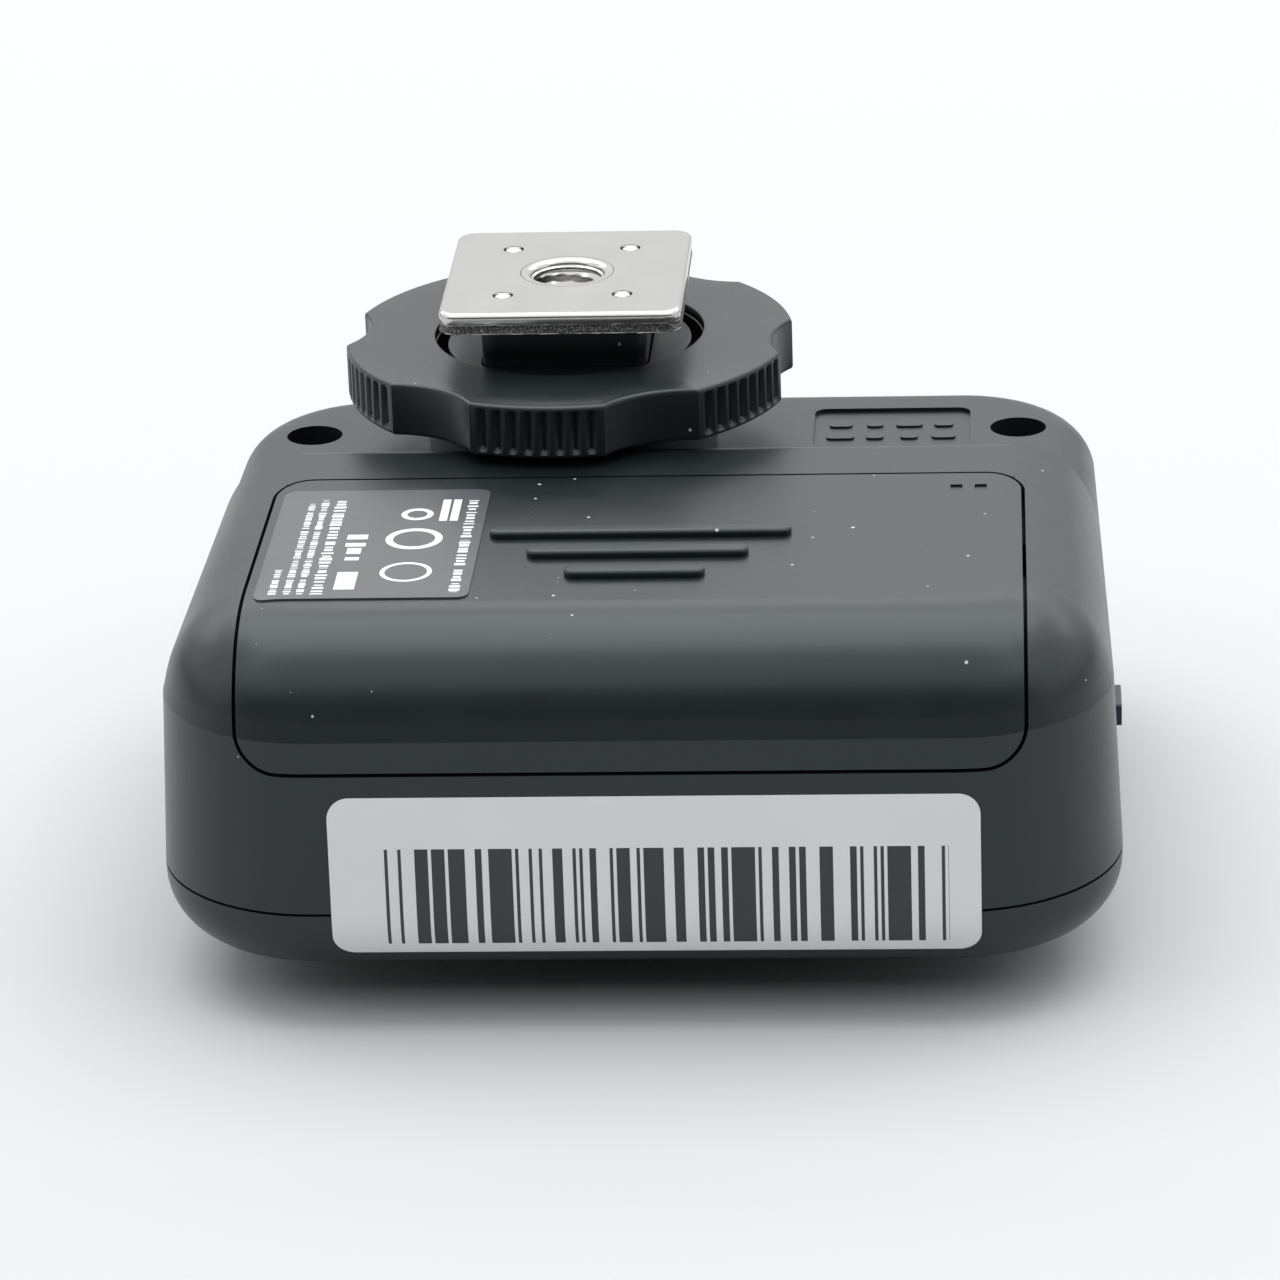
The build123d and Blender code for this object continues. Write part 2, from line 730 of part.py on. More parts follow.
# ---- Screws -----------------------------------------------------------------------------------------
with BuildPart() as case_screws:
    add(rod(case_screw_head, ledge_z, ledge_z + case_screw_head_height, case_places))
    add(rod(case_screw_shank, ledge_z - case_screw_length, ledge_z + into, case_places))
    add(rod(case_screw_head, floor_top, floor_top + case_screw_head_height, inner_places))
    add(rod(case_screw_shank, floor_top - case_screw_length, floor_top + into, inner_places))
    add(rod(drive_size, ledge_z + drive_floor, door_z, case_places), mode=Mode.SUBTRACT)
    add(rod(drive_size, floor_top + drive_floor, door_z, inner_places), mode=Mode.SUBTRACT)
finish(case_screws, "case_screws")

with BuildPart() as foot_mount_screws:
    add(rod(mount_head, skin_low - mount_head_height, skin_low, mount_places))
    add(rod(mount_shank, skin_low - into, skin_low + mount_length, mount_places))
finish(foot_mount_screws, "foot_mount_screws")

# ---- Foot -------------------------------------------------------------------------------------------
foot_at = (foot_x, foot_y)
with BuildPart() as foot_pedestal:
    add(rod(pedestal_diameter, terrace_z, pedestal_top, [foot_at]))
    fillet(foot_pedestal.faces().sort_by(Axis.Z)[-1].edges(), pedestal_edge)
    add(prism(stem_width, stem_width, pedestal_top - past, plate_bottom, foot_at, stem_corner))
    bush_room = bush_body + 2 * screw_gap
    add(rod(bush_room, plate_top - thread_depth, plate_top, [foot_at]), mode=Mode.SUBTRACT)
    add(rod(mount_hole, terrace_z - past, mount_hole_top, mount_places), mode=Mode.SUBTRACT)
finish(foot_pedestal, "foot_pedestal")

pin_y = stem_width / 2 - pin_inset
pins = [(foot_x + x, foot_y + y) for x in (-pin_x, pin_x) for y in (-pin_y, pin_y)]
with BuildPart() as foot_plate:
    add(prism(plate_width, plate_length, plate_bottom, plate_top, foot_at, plate_corner))
    fillet(foot_plate.faces().sort_by(Axis.Z)[-1].edges(), plate_edge)
    add(rod(bush_head + 2 * screw_gap, plate_bottom - past, plate_top + past, [foot_at]), mode=Mode.SUBTRACT)
    add(rod(pin_diameter + 2 * screw_gap, plate_bottom - past, plate_top + past, pins), mode=Mode.SUBTRACT)
finish(foot_plate, "foot_plate")

with BuildPart() as foot_plate_pins:
    add(rod(pin_diameter, plate_bottom, plate_top - pin_sink, pins))
finish(foot_plate_pins, "foot_plate_pins")

with BuildPart() as thread_bush:
    add(rod(bush_body, plate_top - thread_depth, plate_bottom, [foot_at]))
    add(rod(bush_head, plate_bottom - past, plate_top, [foot_at]))
    add(rod(thread_bore, plate_top - thread_depth - 1, plate_top + past, [foot_at]), mode=Mode.SUBTRACT)
    mouth = thread_bush.faces().sort_by(Axis.Z)[-1].edges().sort_by(SortBy.RADIUS)[0]
    chamfer(mouth, (thread_entry - thread_bore) / 2)
finish(thread_bush, "thread_bush")

# ---- Lock ring and its sleeve --------------------------------------------------------------------------
scallop_half = radians(180 / ring_lobes - ring_lobe_half_angle)
half_chord = ring_radius * sin(scallop_half)
sagitta = ring_scallop_depth - ring_radius * (1 - cos(scallop_half))
scallop_radius = (half_chord**2 + sagitta**2) / (2 * sagitta)
scallop_centre = ring_radius - ring_scallop_depth + scallop_radius
first_lobe = 270 + ring_lobe_turn
with BuildPart() as ring_blank:
    with BuildSketch(Plane.XZ) as ring_section:
        with Locations((0, (ring_bottom + ring_top) / 2)):
            Rectangle(2 * ring_radius, ring_height)
        chamfer(ring_section.vertices(), ring_edge)
        with Locations((-ring_radius, (ring_bottom + ring_top) / 2)):
            Rectangle(2 * ring_radius, ring_height + 1, mode=Mode.SUBTRACT)
    revolve(axis=Axis.Z)

with BuildPart() as lock_ring:
    with BuildSketch(Plane.XY.offset(ring_bottom)):
        Circle(ring_radius)
        with PolarLocations(scallop_centre, ring_lobes, start_angle=first_lobe + 180 / ring_lobes):
            Circle(scallop_radius, mode=Mode.SUBTRACT)
        for groove in range(ring_grooves):
            turn = (groove - (ring_grooves - 1) / 2) * groove_pitch
            with PolarLocations(ring_radius, ring_lobes, start_angle=first_lobe + turn):
                RegularPolygon(groove_depth, 4, mode=Mode.SUBTRACT)
    extrude(amount=ring_height)
    add(ring_blank.part, mode=Mode.INTERSECT)
    bore = sleeve_diameter + 2 * turn_gap
    add(rod(bore, ring_bottom - past, ring_top + past, [(0, 0)]), mode=Mode.SUBTRACT)
    add(rod(ring_recess, ring_top - ring_recess_depth, ring_top + past, [(0, 0)]), mode=Mode.SUBTRACT)
    counterbore = sleeve_flange + 2 * turn_gap
    flange_top = ring_bottom + flange_height + turn_gap
    add(rod(counterbore, ring_bottom - past, flange_top, [(0, 0)]), mode=Mode.SUBTRACT)
lock_ring.part = lock_ring.part.moved(Location((foot_x, foot_y, 0)))
finish(lock_ring, "lock_ring")

with BuildPart() as ring_sleeve:
    add(rod(sleeve_flange, ring_bottom, ring_bottom + flange_height, [foot_at]))
    add(rod(sleeve_diameter, ring_bottom, ring_top - ring_recess_depth, [foot_at]))
    key = stem_width + 2 * key_gap
    add(prism(key, key, ring_bottom - past, ring_top, foot_at, stem_corner + key_gap / 2), mode=Mode.SUBTRACT)
finish(ring_sleeve, "ring_sleeve")

# ---- Board and what is on it ------------------------------------------------------------------------------
with BuildPart() as main_board:
    add(body_plan(board_inset, board_bottom))
    extrude(amount=board_thickness)
    boss_room = boss_diameter + 2 * board_gap
    add(rod(boss_room, board_bottom - past, board_top + past, all_case_places), mode=Mode.SUBTRACT)
finish(main_board, "main_board")

with BuildPart() as radio_module:
    add(prism(*module_plan, board_top, board_top + radio_height, radio_at, small_corner))
finish(radio_module, "radio_module")

with BuildPart() as tact_switches:
    for place in tact_places:
        add(prism(tact_size, tact_size, board_bottom - tact_height, board_bottom, place, small_corner))
    plunger_low = board_bottom - tact_height - tact_plunger
    add(rod(nub_diameter, plunger_low, board_bottom - tact_height, tact_places))
finish(tact_switches, "tact_switches")

with BuildPart() as display_module:
    module = (window_width - 2 * module_inset, window_length - 2 * module_inset)
    add(prism(*module, cavity_floor, cavity_floor + module_thickness, window_at, small_corner))
finish(display_module, "display_module")

with BuildPart() as display_window:
    window = (window_width, window_length)
    add(prism(*window, shoe_clear, shoe_clear + window_thickness, window_at, window_corner))
finish(display_window, "display_window")

with BuildPart() as status_lamp:
    add(rod(lamp_diameter, shoe_clear, board_bottom, [lamp_place]))
    fillet(status_lamp.faces().sort_by(Axis.Z)[0].edges(), lamp_edge)
finish(status_lamp, "status_lamp")

# ---- Buttons ----------------------------------------------------------------------------------------------
nub_top = plunger_low - tact_free
flange_low = cavity_floor + button_flange_gap
buttons = (
    ("channel_button", button_places[0], button_diameter),
    ("group_button", button_places[1], button_diameter),
    ("test_button", test_place, test_diameter),
)
for name, place, diameter in buttons:
    with BuildPart() as button:
        add(rod(diameter, shoe_clear - button_proud, flange_low + into / 2, [place]))
        fillet(button.faces().sort_by(Axis.Z)[0].edges(), button_edge)
        add(rod(diameter + 2 * button_flange, flange_low, flange_low + button_flange_height, [place]))
        add(rod(nub_diameter, flange_low, nub_top, [place]))
    finish(button, name)

# ---- Power switch -----------------------------------------------------------------------------------------
with BuildPart() as power_switch:
    with BuildSketch(Plane.YZ.offset(switch_inner)):
        with Locations((knob_y + knob_travel / 2, knob_z)):
            RectangleRounded(switch_length, switch_height, small_corner)
    extrude(amount=switch_outer - switch_inner)
finish(power_switch, "power_switch")

with BuildPart() as power_knob:
    with BuildSketch(Plane.YZ.offset(switch_outer + knob_gap)):
        with Locations((knob_y, knob_z)):
            RectangleRounded(knob_length + 2 * knob_over, knob_height + 2 * knob_rise, knob_corner)
    extrude(amount=knob_flange)
    with BuildSketch(Plane.YZ.offset(switch_outer + knob_gap)):
        with Locations((knob_y, knob_z)):
            RectangleRounded(knob_length, knob_height, knob_corner)
    extrude(amount=wall_x_knob + knob_proud - switch_outer - knob_gap)
finish(power_knob, "power_knob")

# ---- Sockets ----------------------------------------------------------------------------------------------
jack_face = -(wall_x_jack - jack_sink)
jack_inner = -(wall_x_jack - wall - jack_wall_gap)
with BuildPart() as sync_jack:
    with BuildSketch(Plane.YZ.offset(jack_inner)):
        with Locations((jack_y, jack_z)):
            RectangleRounded(jack_size, jack_size, small_corner)
    extrude(amount=jack_length)
    with BuildSketch(Plane.YZ.offset(jack_face)):
        with Locations((jack_y, jack_z)):
            Circle(jack_barrel / 2)
    extrude(amount=jack_inner - jack_face + into)
    with BuildSketch(Plane.YZ.offset(jack_face - past)):
        with Locations((jack_y, jack_z)):
            Circle(jack_bore / 2)
    extrude(amount=jack_length - past, mode=Mode.SUBTRACT)
finish(sync_jack, "sync_jack")

usb_face = -(wall_x_usb - jack_sink)
with BuildPart() as usb_socket:
    with BuildSketch(Plane.YZ.offset(usb_face)):
        with Locations((usb_y, usb_z)):
            RectangleRounded(usb_width, usb_height, usb_corner)
            offset(amount=-usb_sheet, mode=Mode.SUBTRACT)
    extrude(amount=usb_depth)
    with BuildSketch(Plane.YZ.offset(usb_face + usb_depth - usb_sheet)):
        with Locations((usb_y, usb_z)):
            RectangleRounded(usb_width, usb_height, usb_corner)
    extrude(amount=usb_sheet)
    with BuildSketch(Plane.YZ.offset(usb_face + usb_tongue_sink)):
        with Locations((usb_y, usb_z)):
            Rectangle(usb_tongue_width, usb_tongue_height)
    extrude(amount=usb_depth - usb_tongue_sink - usb_sheet / 2)
finish(usb_socket, "usb_socket")

# ---- Accessory shoe ---------------------------------------------------------------------------------------
with BuildPart() as shoe_rails:
    with BuildSketch(Plane.XZ.offset(-rail_length / 2)):
        with Locations((0, shoe_base_high / 2)):
            Rectangle(rail_outer, shoe_base_high)
        with Locations((0, rail_gauge + rail_slot / 2)):
            Rectangle(rail_inner, rail_slot, mode=Mode.SUBTRACT)
        with Locations((0, rail_gauge / 2)):
            Rectangle(rail_mouth, rail_gauge, mode=Mode.SUBTRACT)
    extrude(amount=rail_length)
    outer_edges = shoe_rails.edges().filter_by(Axis.Y).group_by(Axis.X)
    fillet(outer_edges[0] + outer_edges[-1], rail_bend)
    hole = (block_width + 2 * screw_gap, block_length + 2 * screw_gap)
    add(prism(*hole, shoe_base_low - past, shoe_base_high + past, (0, 0)), mode=Mode.SUBTRACT)
    head_hole = rail_screw_head + 2 * screw_gap
    add(rod(head_hole, shoe_base_low - past, head_top, rail_screw_places), mode=Mode.SUBTRACT)
    add(rod(rail_screw_hole, shoe_base_low, shoe_base_high + past, rail_screw_places), mode=Mode.SUBTRACT)
finish(shoe_rails, "shoe_rails")

with BuildPart() as shoe_block:
    add(prism(block_width, block_length, shoe_base_low - block_proud, shoe_base_high, (0, 0), small_corner))
    add(rod(centre_contact + 2 * screw_gap, 0, pad_top, [(0, 0)]), mode=Mode.SUBTRACT)
    add(rod(side_contact + 2 * screw_gap, 0, pad_top, side_contacts), mode=Mode.SUBTRACT)
finish(shoe_block, "shoe_block")

with BuildPart() as shoe_contacts:
    add(rod(centre_contact, shoe_base_low - block_proud, pad_top, [(0, 0)]))
    add(rod(side_contact, shoe_base_low - block_proud, pad_top, side_contacts))
finish(shoe_contacts, "shoe_contacts")

with BuildPart() as shoe_screws:
    add(rod(rail_screw_head, shoe_base_low + head_sink, head_top, rail_screw_places))
    add(rod(rail_screw_shank, head_top - into / 2, rail_screw_top - screw_room / 2, rail_screw_places))
    drive_top = shoe_base_low + shoe_drive_depth
    add(rod(shoe_drive, shoe_base_low, drive_top, rail_screw_places), mode=Mode.SUBTRACT)
finish(shoe_screws, "shoe_screws")

# ---- Labels -----------------------------------------------------------------------------------------------
left, right, nearest, farthest = info_label
info_block = prism(
    right - left,
    farthest - nearest,
    door_z - door_thickness,
    door_z + past,
    ((left + right) / 2, near + (nearest + farthest) / 2),
    info_corner,
)
with BuildPart() as info_label_piece:
    add(upper_form(-label_thickness))
    add(upper, mode=Mode.SUBTRACT)
    add(info_block, mode=Mode.INTERSECT)
finish(info_label_piece, "info_label")

left, right, lowest, highest = serial_label
with BuildPart() as serial_label_piece:
    add(upper_form(-label_thickness))
    add(lower_form(-label_thickness))
    add(upper, mode=Mode.SUBTRACT)
    add(lower, mode=Mode.SUBTRACT)
    with BuildSketch(Plane.XZ.offset(-near - near_round)) as outline:
        with Locations(((left + right) / 2, (lowest + highest) / 2)):
            RectangleRounded(right - left, highest - lowest, serial_corner)
    extrude(amount=near_round + past, mode=Mode.INTERSECT)
finish(serial_label_piece, "serial_label")
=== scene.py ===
import math

import bmesh
import bpy
from mathutils import Matrix, Vector, noise


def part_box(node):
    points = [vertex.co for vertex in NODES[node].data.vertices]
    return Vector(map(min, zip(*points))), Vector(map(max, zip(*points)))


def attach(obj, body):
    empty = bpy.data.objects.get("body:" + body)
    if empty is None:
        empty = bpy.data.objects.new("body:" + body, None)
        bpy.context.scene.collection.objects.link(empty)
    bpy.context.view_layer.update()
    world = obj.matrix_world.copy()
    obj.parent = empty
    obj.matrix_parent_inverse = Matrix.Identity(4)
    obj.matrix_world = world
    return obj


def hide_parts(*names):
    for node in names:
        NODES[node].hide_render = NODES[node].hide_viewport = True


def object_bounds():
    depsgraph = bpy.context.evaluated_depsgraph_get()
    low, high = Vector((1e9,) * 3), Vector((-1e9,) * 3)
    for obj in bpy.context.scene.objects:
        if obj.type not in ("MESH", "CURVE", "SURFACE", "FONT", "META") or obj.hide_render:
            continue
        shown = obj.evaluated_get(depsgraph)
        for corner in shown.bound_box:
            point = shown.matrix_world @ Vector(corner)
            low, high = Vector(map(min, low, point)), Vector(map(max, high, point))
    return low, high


bl_info = {
    "name": "Flash Trigger",
    "version": (1, 0, 0),
    "blender": (4, 5, 0),
    "location": "View3D > Sidebar > Flash Trigger",
    "description": "Detailed pieces, finishes and a plain stage for a shoe-mounted flash trigger",
    "category": "Object",
}

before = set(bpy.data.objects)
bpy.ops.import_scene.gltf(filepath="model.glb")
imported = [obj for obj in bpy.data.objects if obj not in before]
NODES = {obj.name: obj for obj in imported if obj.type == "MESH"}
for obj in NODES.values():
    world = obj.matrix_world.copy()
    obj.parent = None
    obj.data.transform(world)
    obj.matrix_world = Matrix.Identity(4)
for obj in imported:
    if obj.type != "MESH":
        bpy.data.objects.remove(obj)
CAD_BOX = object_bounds()
MM = 0.001
DOME = 1.2  # radius of the dome that the light panels stand on
MERGE = 1e-7  # points closer than this are one point
RING_STEPS = 1440  # points round the lock ring
PIN_STEPS = 48
THREAD_STEPS = 96
THREAD_ROWS = 14  # in each turn of the thread
SPECK_CELL = 1.4 * MM  # at most one speck of dust in each cell
DUST_COLOUR = (0.42, 0.43, 0.44)
PLASTIC_TINT = (0.90, 0.975, 1.0, 1.0)  # of the plastics' gloss
TABLE_RADIUS = 4.0
SENSOR_WIDTH = 36.0
VIEW_SIDE = 1.174 * MM  # of the point looked at, to the right of the middle
VIEW_DEPTH = 30.0 * MM  # of that point, from the near edge
VIEW_HEIGHT = 17.894 * MM


# ---- Places that come from model.glb -----------------------------------------------------------
PLATE_LOW, PLATE_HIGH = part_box("foot_plate")
BUSH_LOW, BUSH_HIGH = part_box("thread_bush")
RING_LOW, RING_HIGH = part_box("lock_ring")
SLEEVE_LOW, SLEEVE_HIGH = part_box("ring_sleeve")
INFO_LOW, INFO_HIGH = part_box("info_label")
SERIAL_LOW, SERIAL_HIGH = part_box("serial_label")
WINDOW_LOW, WINDOW_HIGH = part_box("display_window")
MODULE_LOW, MODULE_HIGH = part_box("display_module")
FOOT_AXIS = ((BUSH_LOW + BUSH_HIGH) / 2).to_2d()


# ---- Settings ----------------------------------------------------------------------------------
def colour_setting(name, text, value):
    """A colour that a user would change."""
    return bpy.props.FloatVectorProperty(
        name=name, description=text, subtype="COLOR", size=3, min=0.0, max=1.0, default=value
    )


def length_setting(name, text, value):
    """A length in metres that a user would change."""
    return bpy.props.FloatProperty(
        name=name,
        description=text,
        subtype="DISTANCE",
        unit="LENGTH",
        min=0.0,
        precision=5,
        default=value,
    )


def brightness_setting(name, text, value):
    """How bright a lit surface looks, where white paper in full light is about 1."""
    return bpy.props.FloatProperty(name=name, description=text, min=0.0, default=value)


class TriggerFinish(bpy.types.PropertyGroup):
    """Colours and textures of the moulded, plated and printed surfaces."""

    housing: colour_setting(
        "Housing", "Textured black plastic of both covers", (0.0078, 0.0108, 0.0122)
    )
    ring: colour_setting("Ring", "Moulded black plastic of the lock ring", (0.0080, 0.0108, 0.0122))
    stem: colour_setting("Stem", "Smooth black plastic under the foot plate", (0.0065, 0.0085, 0.0095))
    nickel: colour_setting("Nickel", "Plating of the foot plate", (0.57, 0.565, 0.54))
    steel: colour_setting("Steel", "Turned and bent steel", (0.56, 0.55, 0.53))
    dark_steel: colour_setting("Dark steel", "Blackened screws", (0.10, 0.10, 0.10))
    brass: colour_setting("Brass", "Flashed contacts", (0.72, 0.55, 0.24))
    paper: colour_setting("White label", "Coated white label stock", (0.77, 0.78, 0.79))
    ink: colour_setting("Ink", "Print on the white label", (0.030, 0.033, 0.036))
    dark_label: colour_setting("Dark label", "Coated dark grey label stock", (0.060, 0.064, 0.070))
    dark_print: colour_setting("Dark label print", "Pale print on the dark label", (0.62, 0.64, 0.67))
    rubber: colour_setting("Rubber", "Silicone of the buttons", (0.035, 0.036, 0.038))
    knob: colour_setting("Knob", "Power knob", (0.012, 0.014, 0.030))
    cell: colour_setting("Cell", "Printed sleeve of the cells", (0.05, 0.07, 0.10))
    cell_band: colour_setting("Cell band", "Band round the cells", (0.45, 0.32, 0.12))
    board: colour_setting("Board", "Solder resist", (0.012, 0.085, 0.040))
    glass: colour_setting("Window", "Tinted display window", (0.010, 0.012, 0.014))
    grain: length_setting("Grain", "Pitch of the moulded texture", 0.00030)
    dust: bpy.props.FloatProperty(
        name="Dust",
        description="Share of the surface's cells with a speck of dust",
        default=0.10,
        min=0.0,
        max=1.0,
    )


class TriggerSizes(bpy.types.PropertyGroup):
    """Sizes of the details that are modelled here."""

    lobes: bpy.props.IntProperty(
        name="Lobes", description="Finger lobes round the lock ring", default=6, min=3
    )
    lobe_half: bpy.props.FloatProperty(
        name="Lobe half angle",
        description="Half of the angle that a lobe covers, in degrees",
        default=17.3,
    )
    lobe_turn: bpy.props.FloatProperty(
        name="Lobe turn",
        description="Middle of the nearest lobe from straight nearwards, in degrees",
        default=-5.0,
    )
    scallop: length_setting("Scallop", "Depth of the hollows between the lobes", 1.5 * MM)
    grooves: bpy.props.IntProperty(name="Grooves", description="Grooves on each lobe", default=8, min=1)
    groove_angle: bpy.props.FloatProperty(
        name="Groove angle", description="From one groove to the next, in degrees", default=4.0
    )
    groove_depth: length_setting("Groove depth", "Depth of a groove", 0.40 * MM)
    ring_edge: length_setting("Ring edge", "Rounding of the ring's edges", 0.30 * MM)
    ring_fall: length_setting("Ring fall", "Drop of the ring's upper face at its rim", 0.15 * MM)
    ring_fall_band: length_setting(
        "Ring fall band", "Width of the part of that face that drops", 3.2 * MM
    )
    recess: length_setting("Recess", "Diameter of the hollow in the ring's upper face", 21.0 * MM)
    recess_depth: length_setting("Recess depth", "Depth of that hollow", 0.8 * MM)
    pin: length_setting("Pin", "Diameter of the foot plate's pins", 1.5 * MM)
    pin_cup: length_setting("Pin cup", "Depth of the cup in a pin's end", 0.16 * MM)
    pin_gap: length_setting("Pin gap", "Dark gap round a pin", 0.045 * MM)
    bush_head: length_setting("Bush head", "Diameter of the bush's head in the plate", 7.2 * MM)
    shear: length_setting(
        "Shear band", "Height of the rough band round the plate's lower edge", 0.75 * MM
    )
    shear_depth: length_setting("Shear depth", "Roughness of that band", 0.07 * MM)
    thread_pitch: length_setting("Thread pitch", "A quarter inch thread, 20 to the inch", 1.27 * MM)
    thread_crest: length_setting("Thread crest", "Radius at the thread's crests", 2.6 * MM)
    thread_root: length_setting("Thread root", "Radius at the thread's roots", 3.1 * MM)
    thread_mouth: length_setting("Thread mouth", "Radius of the rounded entry", 3.05 * MM)


class TriggerStage(bpy.types.PropertyGroup):
    """Floor, lights and camera."""

    floor: colour_setting("Floor", "Pale table", (0.50, 0.509, 0.516))
    backdrop: brightness_setting("Backdrop", "Lit wall low behind the table", 0.85)
    behind: brightness_setting("Behind", "Softbox behind the table", 2.35)
    overhead: brightness_setting("Overhead", "Softbox above the table", 3.4)
    sides: brightness_setting("Sides", "Lit walls beside the table", 1.1)
    room: brightness_setting("Room", "Light of the room", 0.14)
    front: brightness_setting("Front", "Softbox over the camera", 1.2)
    lens: bpy.props.FloatProperty(
        name="Lens",
        description="Focal length on a 36 mm wide sensor",
        default=160.2,
        subtype="DISTANCE_CAMERA",
    )
    distance: length_setting("Distance", "From the camera to the point it looks at", 429.8 * MM)
    elevation: bpy.props.FloatProperty(
        name="Elevation",
        description="Of the camera above the table",
        subtype="ANGLE",
        default=math.radians(22.23),
    )
    azimuth: bpy.props.FloatProperty(
        name="Azimuth",
        description="Turn of the view about the upright",
        subtype="ANGLE",
        default=math.radians(3.93),
    )
    roll: bpy.props.FloatProperty(
        name="Roll", description="Roll of the camera", subtype="ANGLE", default=math.radians(2.04)
    )


SETTINGS = (TriggerFinish, TriggerSizes, TriggerStage)


# ---- Shader maths ------------------------------------------------------------------------------
class Value:
    """A node's output, with Python's operators standing for Math nodes."""

    def __init__(self, shader, socket):
        self.shader = shader
        self.socket = socket

    def math(self, operation, *others):
        return self.shader.node("ShaderNodeMath", (self, *others), operation=operation)

    def __add__(self, other):
        return self.math("ADD", other)

    def __sub__(self, other):
        return self.math("SUBTRACT", other)

    def __rsub__(self, other):
        return self.shader.node("ShaderNodeMath", (other, self), operation="SUBTRACT")

    def __mul__(self, other):
        return self.math("MULTIPLY", other)

    def __truediv__(self, other):
        return self.math("DIVIDE", other)

    def __lt__(self, other):
        return self.math("LESS_THAN", other)

    def __gt__(self, other):
        return self.math("GREATER_THAN", other)

    def __and__(self, other):
        return self.math("MULTIPLY", other)

    def __or__(self, other):
        return self.math("MAXIMUM", other)

    def __abs__(self):
        return self.math("ABSOLUTE")

    __radd__ = __add__
    __rmul__ = __mul__

    def floor(self):
        return self.math("FLOOR")

    def smooth(self, low, high):
        """0 below low, 1 above high, and a smooth rise between."""
        return self.shader.node(
            "ShaderNodeMapRange",
            {"Value": self, "From Min": low, "From Max": high},
            interpolation_type="SMOOTHSTEP",
        )


class Shader:
    """A material under construction."""

    def __init__(self, name):
        self.material = bpy.data.materials.new(name)
        self.material.use_nodes = True
        self.tree = self.material.node_tree
        self.tree.nodes.clear()
        self.place = self.node("ShaderNodeTexCoord", out="Object")

    def node(self, kind, inputs=(), out=0, stops=None, **settings):
        """Makes one node: its settings first, then the values or links of its sockets."""
        made = self.tree.nodes.new(kind)
        for key, setting in settings.items():
            setattr(made, key, setting)
        if stops:
            ramp = made.color_ramp.elements
            while len(ramp) < len(stops):
                ramp.new(1.0)
            for element, (position, colour) in zip(ramp, stops):
                element.position = position
                element.color = (*colour, 1.0)
        pairs = inputs.items() if isinstance(inputs, dict) else enumerate(inputs)
        for key, given in pairs:
            if isinstance(given, Value):
                self.tree.links.new(given.socket, made.inputs[key])
            elif given is not None:
                made.inputs[key].default_value = given
        return Value(self, made.outputs[out])

    def axes(self, centre=(0.0, 0.0, 0.0)):
        """The three object coordinates, measured from a centre."""
        moved = self.node("ShaderNodeVectorMath", (self.place, tuple(centre)), operation="SUBTRACT")
        parts = self.node("ShaderNodeSeparateXYZ", (moved,))
        outputs = parts.socket.node.outputs
        return [Value(self, outputs[i]) for i in range(3)]

    def noise(self, size, detail=2.0, roughness=0.5):
        """Soft noise whose lumps are about size across."""
        return self.node(
            "ShaderNodeTexNoise",
            {"Vector": self.place, "Scale": 1 / size, "Detail": detail, "Roughness": roughness},
        )

    def stretched_noise(self, size, along):
        """Noise drawn out along some axes, as on brushed metal."""
        scaled = self.node("ShaderNodeMapping", {"Vector": self.place, "Scale": along})
        return self.node("ShaderNodeTexNoise", {"Vector": scaled, "Scale": 1 / size, "Detail": 3.0})

    def random(self, value, seed=0.0):
        """One random number for each whole value."""
        shifted = value + seed
        return self.node("ShaderNodeTexWhiteNoise", {"W": shifted}, noise_dimensions="1D", out="Value")

    def mix(self, factor, first, second):
        """Colour between two colours."""
        return self.node(
            "ShaderNodeMix",
            {"Factor": factor, 6: self.colour(first), 7: self.colour(second)},
            out=2,
            data_type="RGBA",
        )

    @staticmethod
    def colour(given):
        """A colour with its fourth part, or a node's output as it is."""
        if isinstance(given, Value):
            return given
        return (*given, 1.0)

    def bump(self, height, distance, strength=1.0, under=None):
        """Normal bent by a height, over an earlier normal if there is one."""
        return self.node(
            "ShaderNodeBump",
            {"Height": height, "Distance": distance, "Strength": strength, "Normal": under},
        )

    def finish(self, **sockets):
        """Principled surface with the given sockets. Underscores stand for spaces."""
        named = {key.replace("_", " "): value for key, value in sockets.items()}
        if "Base Color" in named:
            named["Base Color"] = self.colour(named["Base Color"])
        surface = self.node("ShaderNodeBsdfPrincipled", named)
        self.node_output(surface)
        return self.material

    def node_output(self, surface):
        """Ends the tree at the material's output."""
        output = self.tree.nodes.new("ShaderNodeOutputMaterial")
        self.tree.links.new(surface.socket, output.inputs["Surface"])


def shade(colour, factor):
    """A colour made darker or lighter."""
    return tuple(part * factor for part in colour)


def dust_specks(shader, amount, cell):
    """Mask of small pale specks, one in a few of the cells."""
    cells = shader.node(
        "ShaderNodeTexVoronoi",
        {"Vector": shader.place, "Scale": 1 / cell, "Randomness": 1.0},
        out="Distance",
    )
    tint = Value(shader, cells.socket.node.outputs["Color"])
    parts = shader.node("ShaderNodeSeparateColor", (tint,))
    pick = Value(shader, parts.socket.node.outputs[0])
    size = Value(shader, parts.socket.node.outputs[1])
    return (pick < amount) & (cells < size * 0.09 + 0.02)


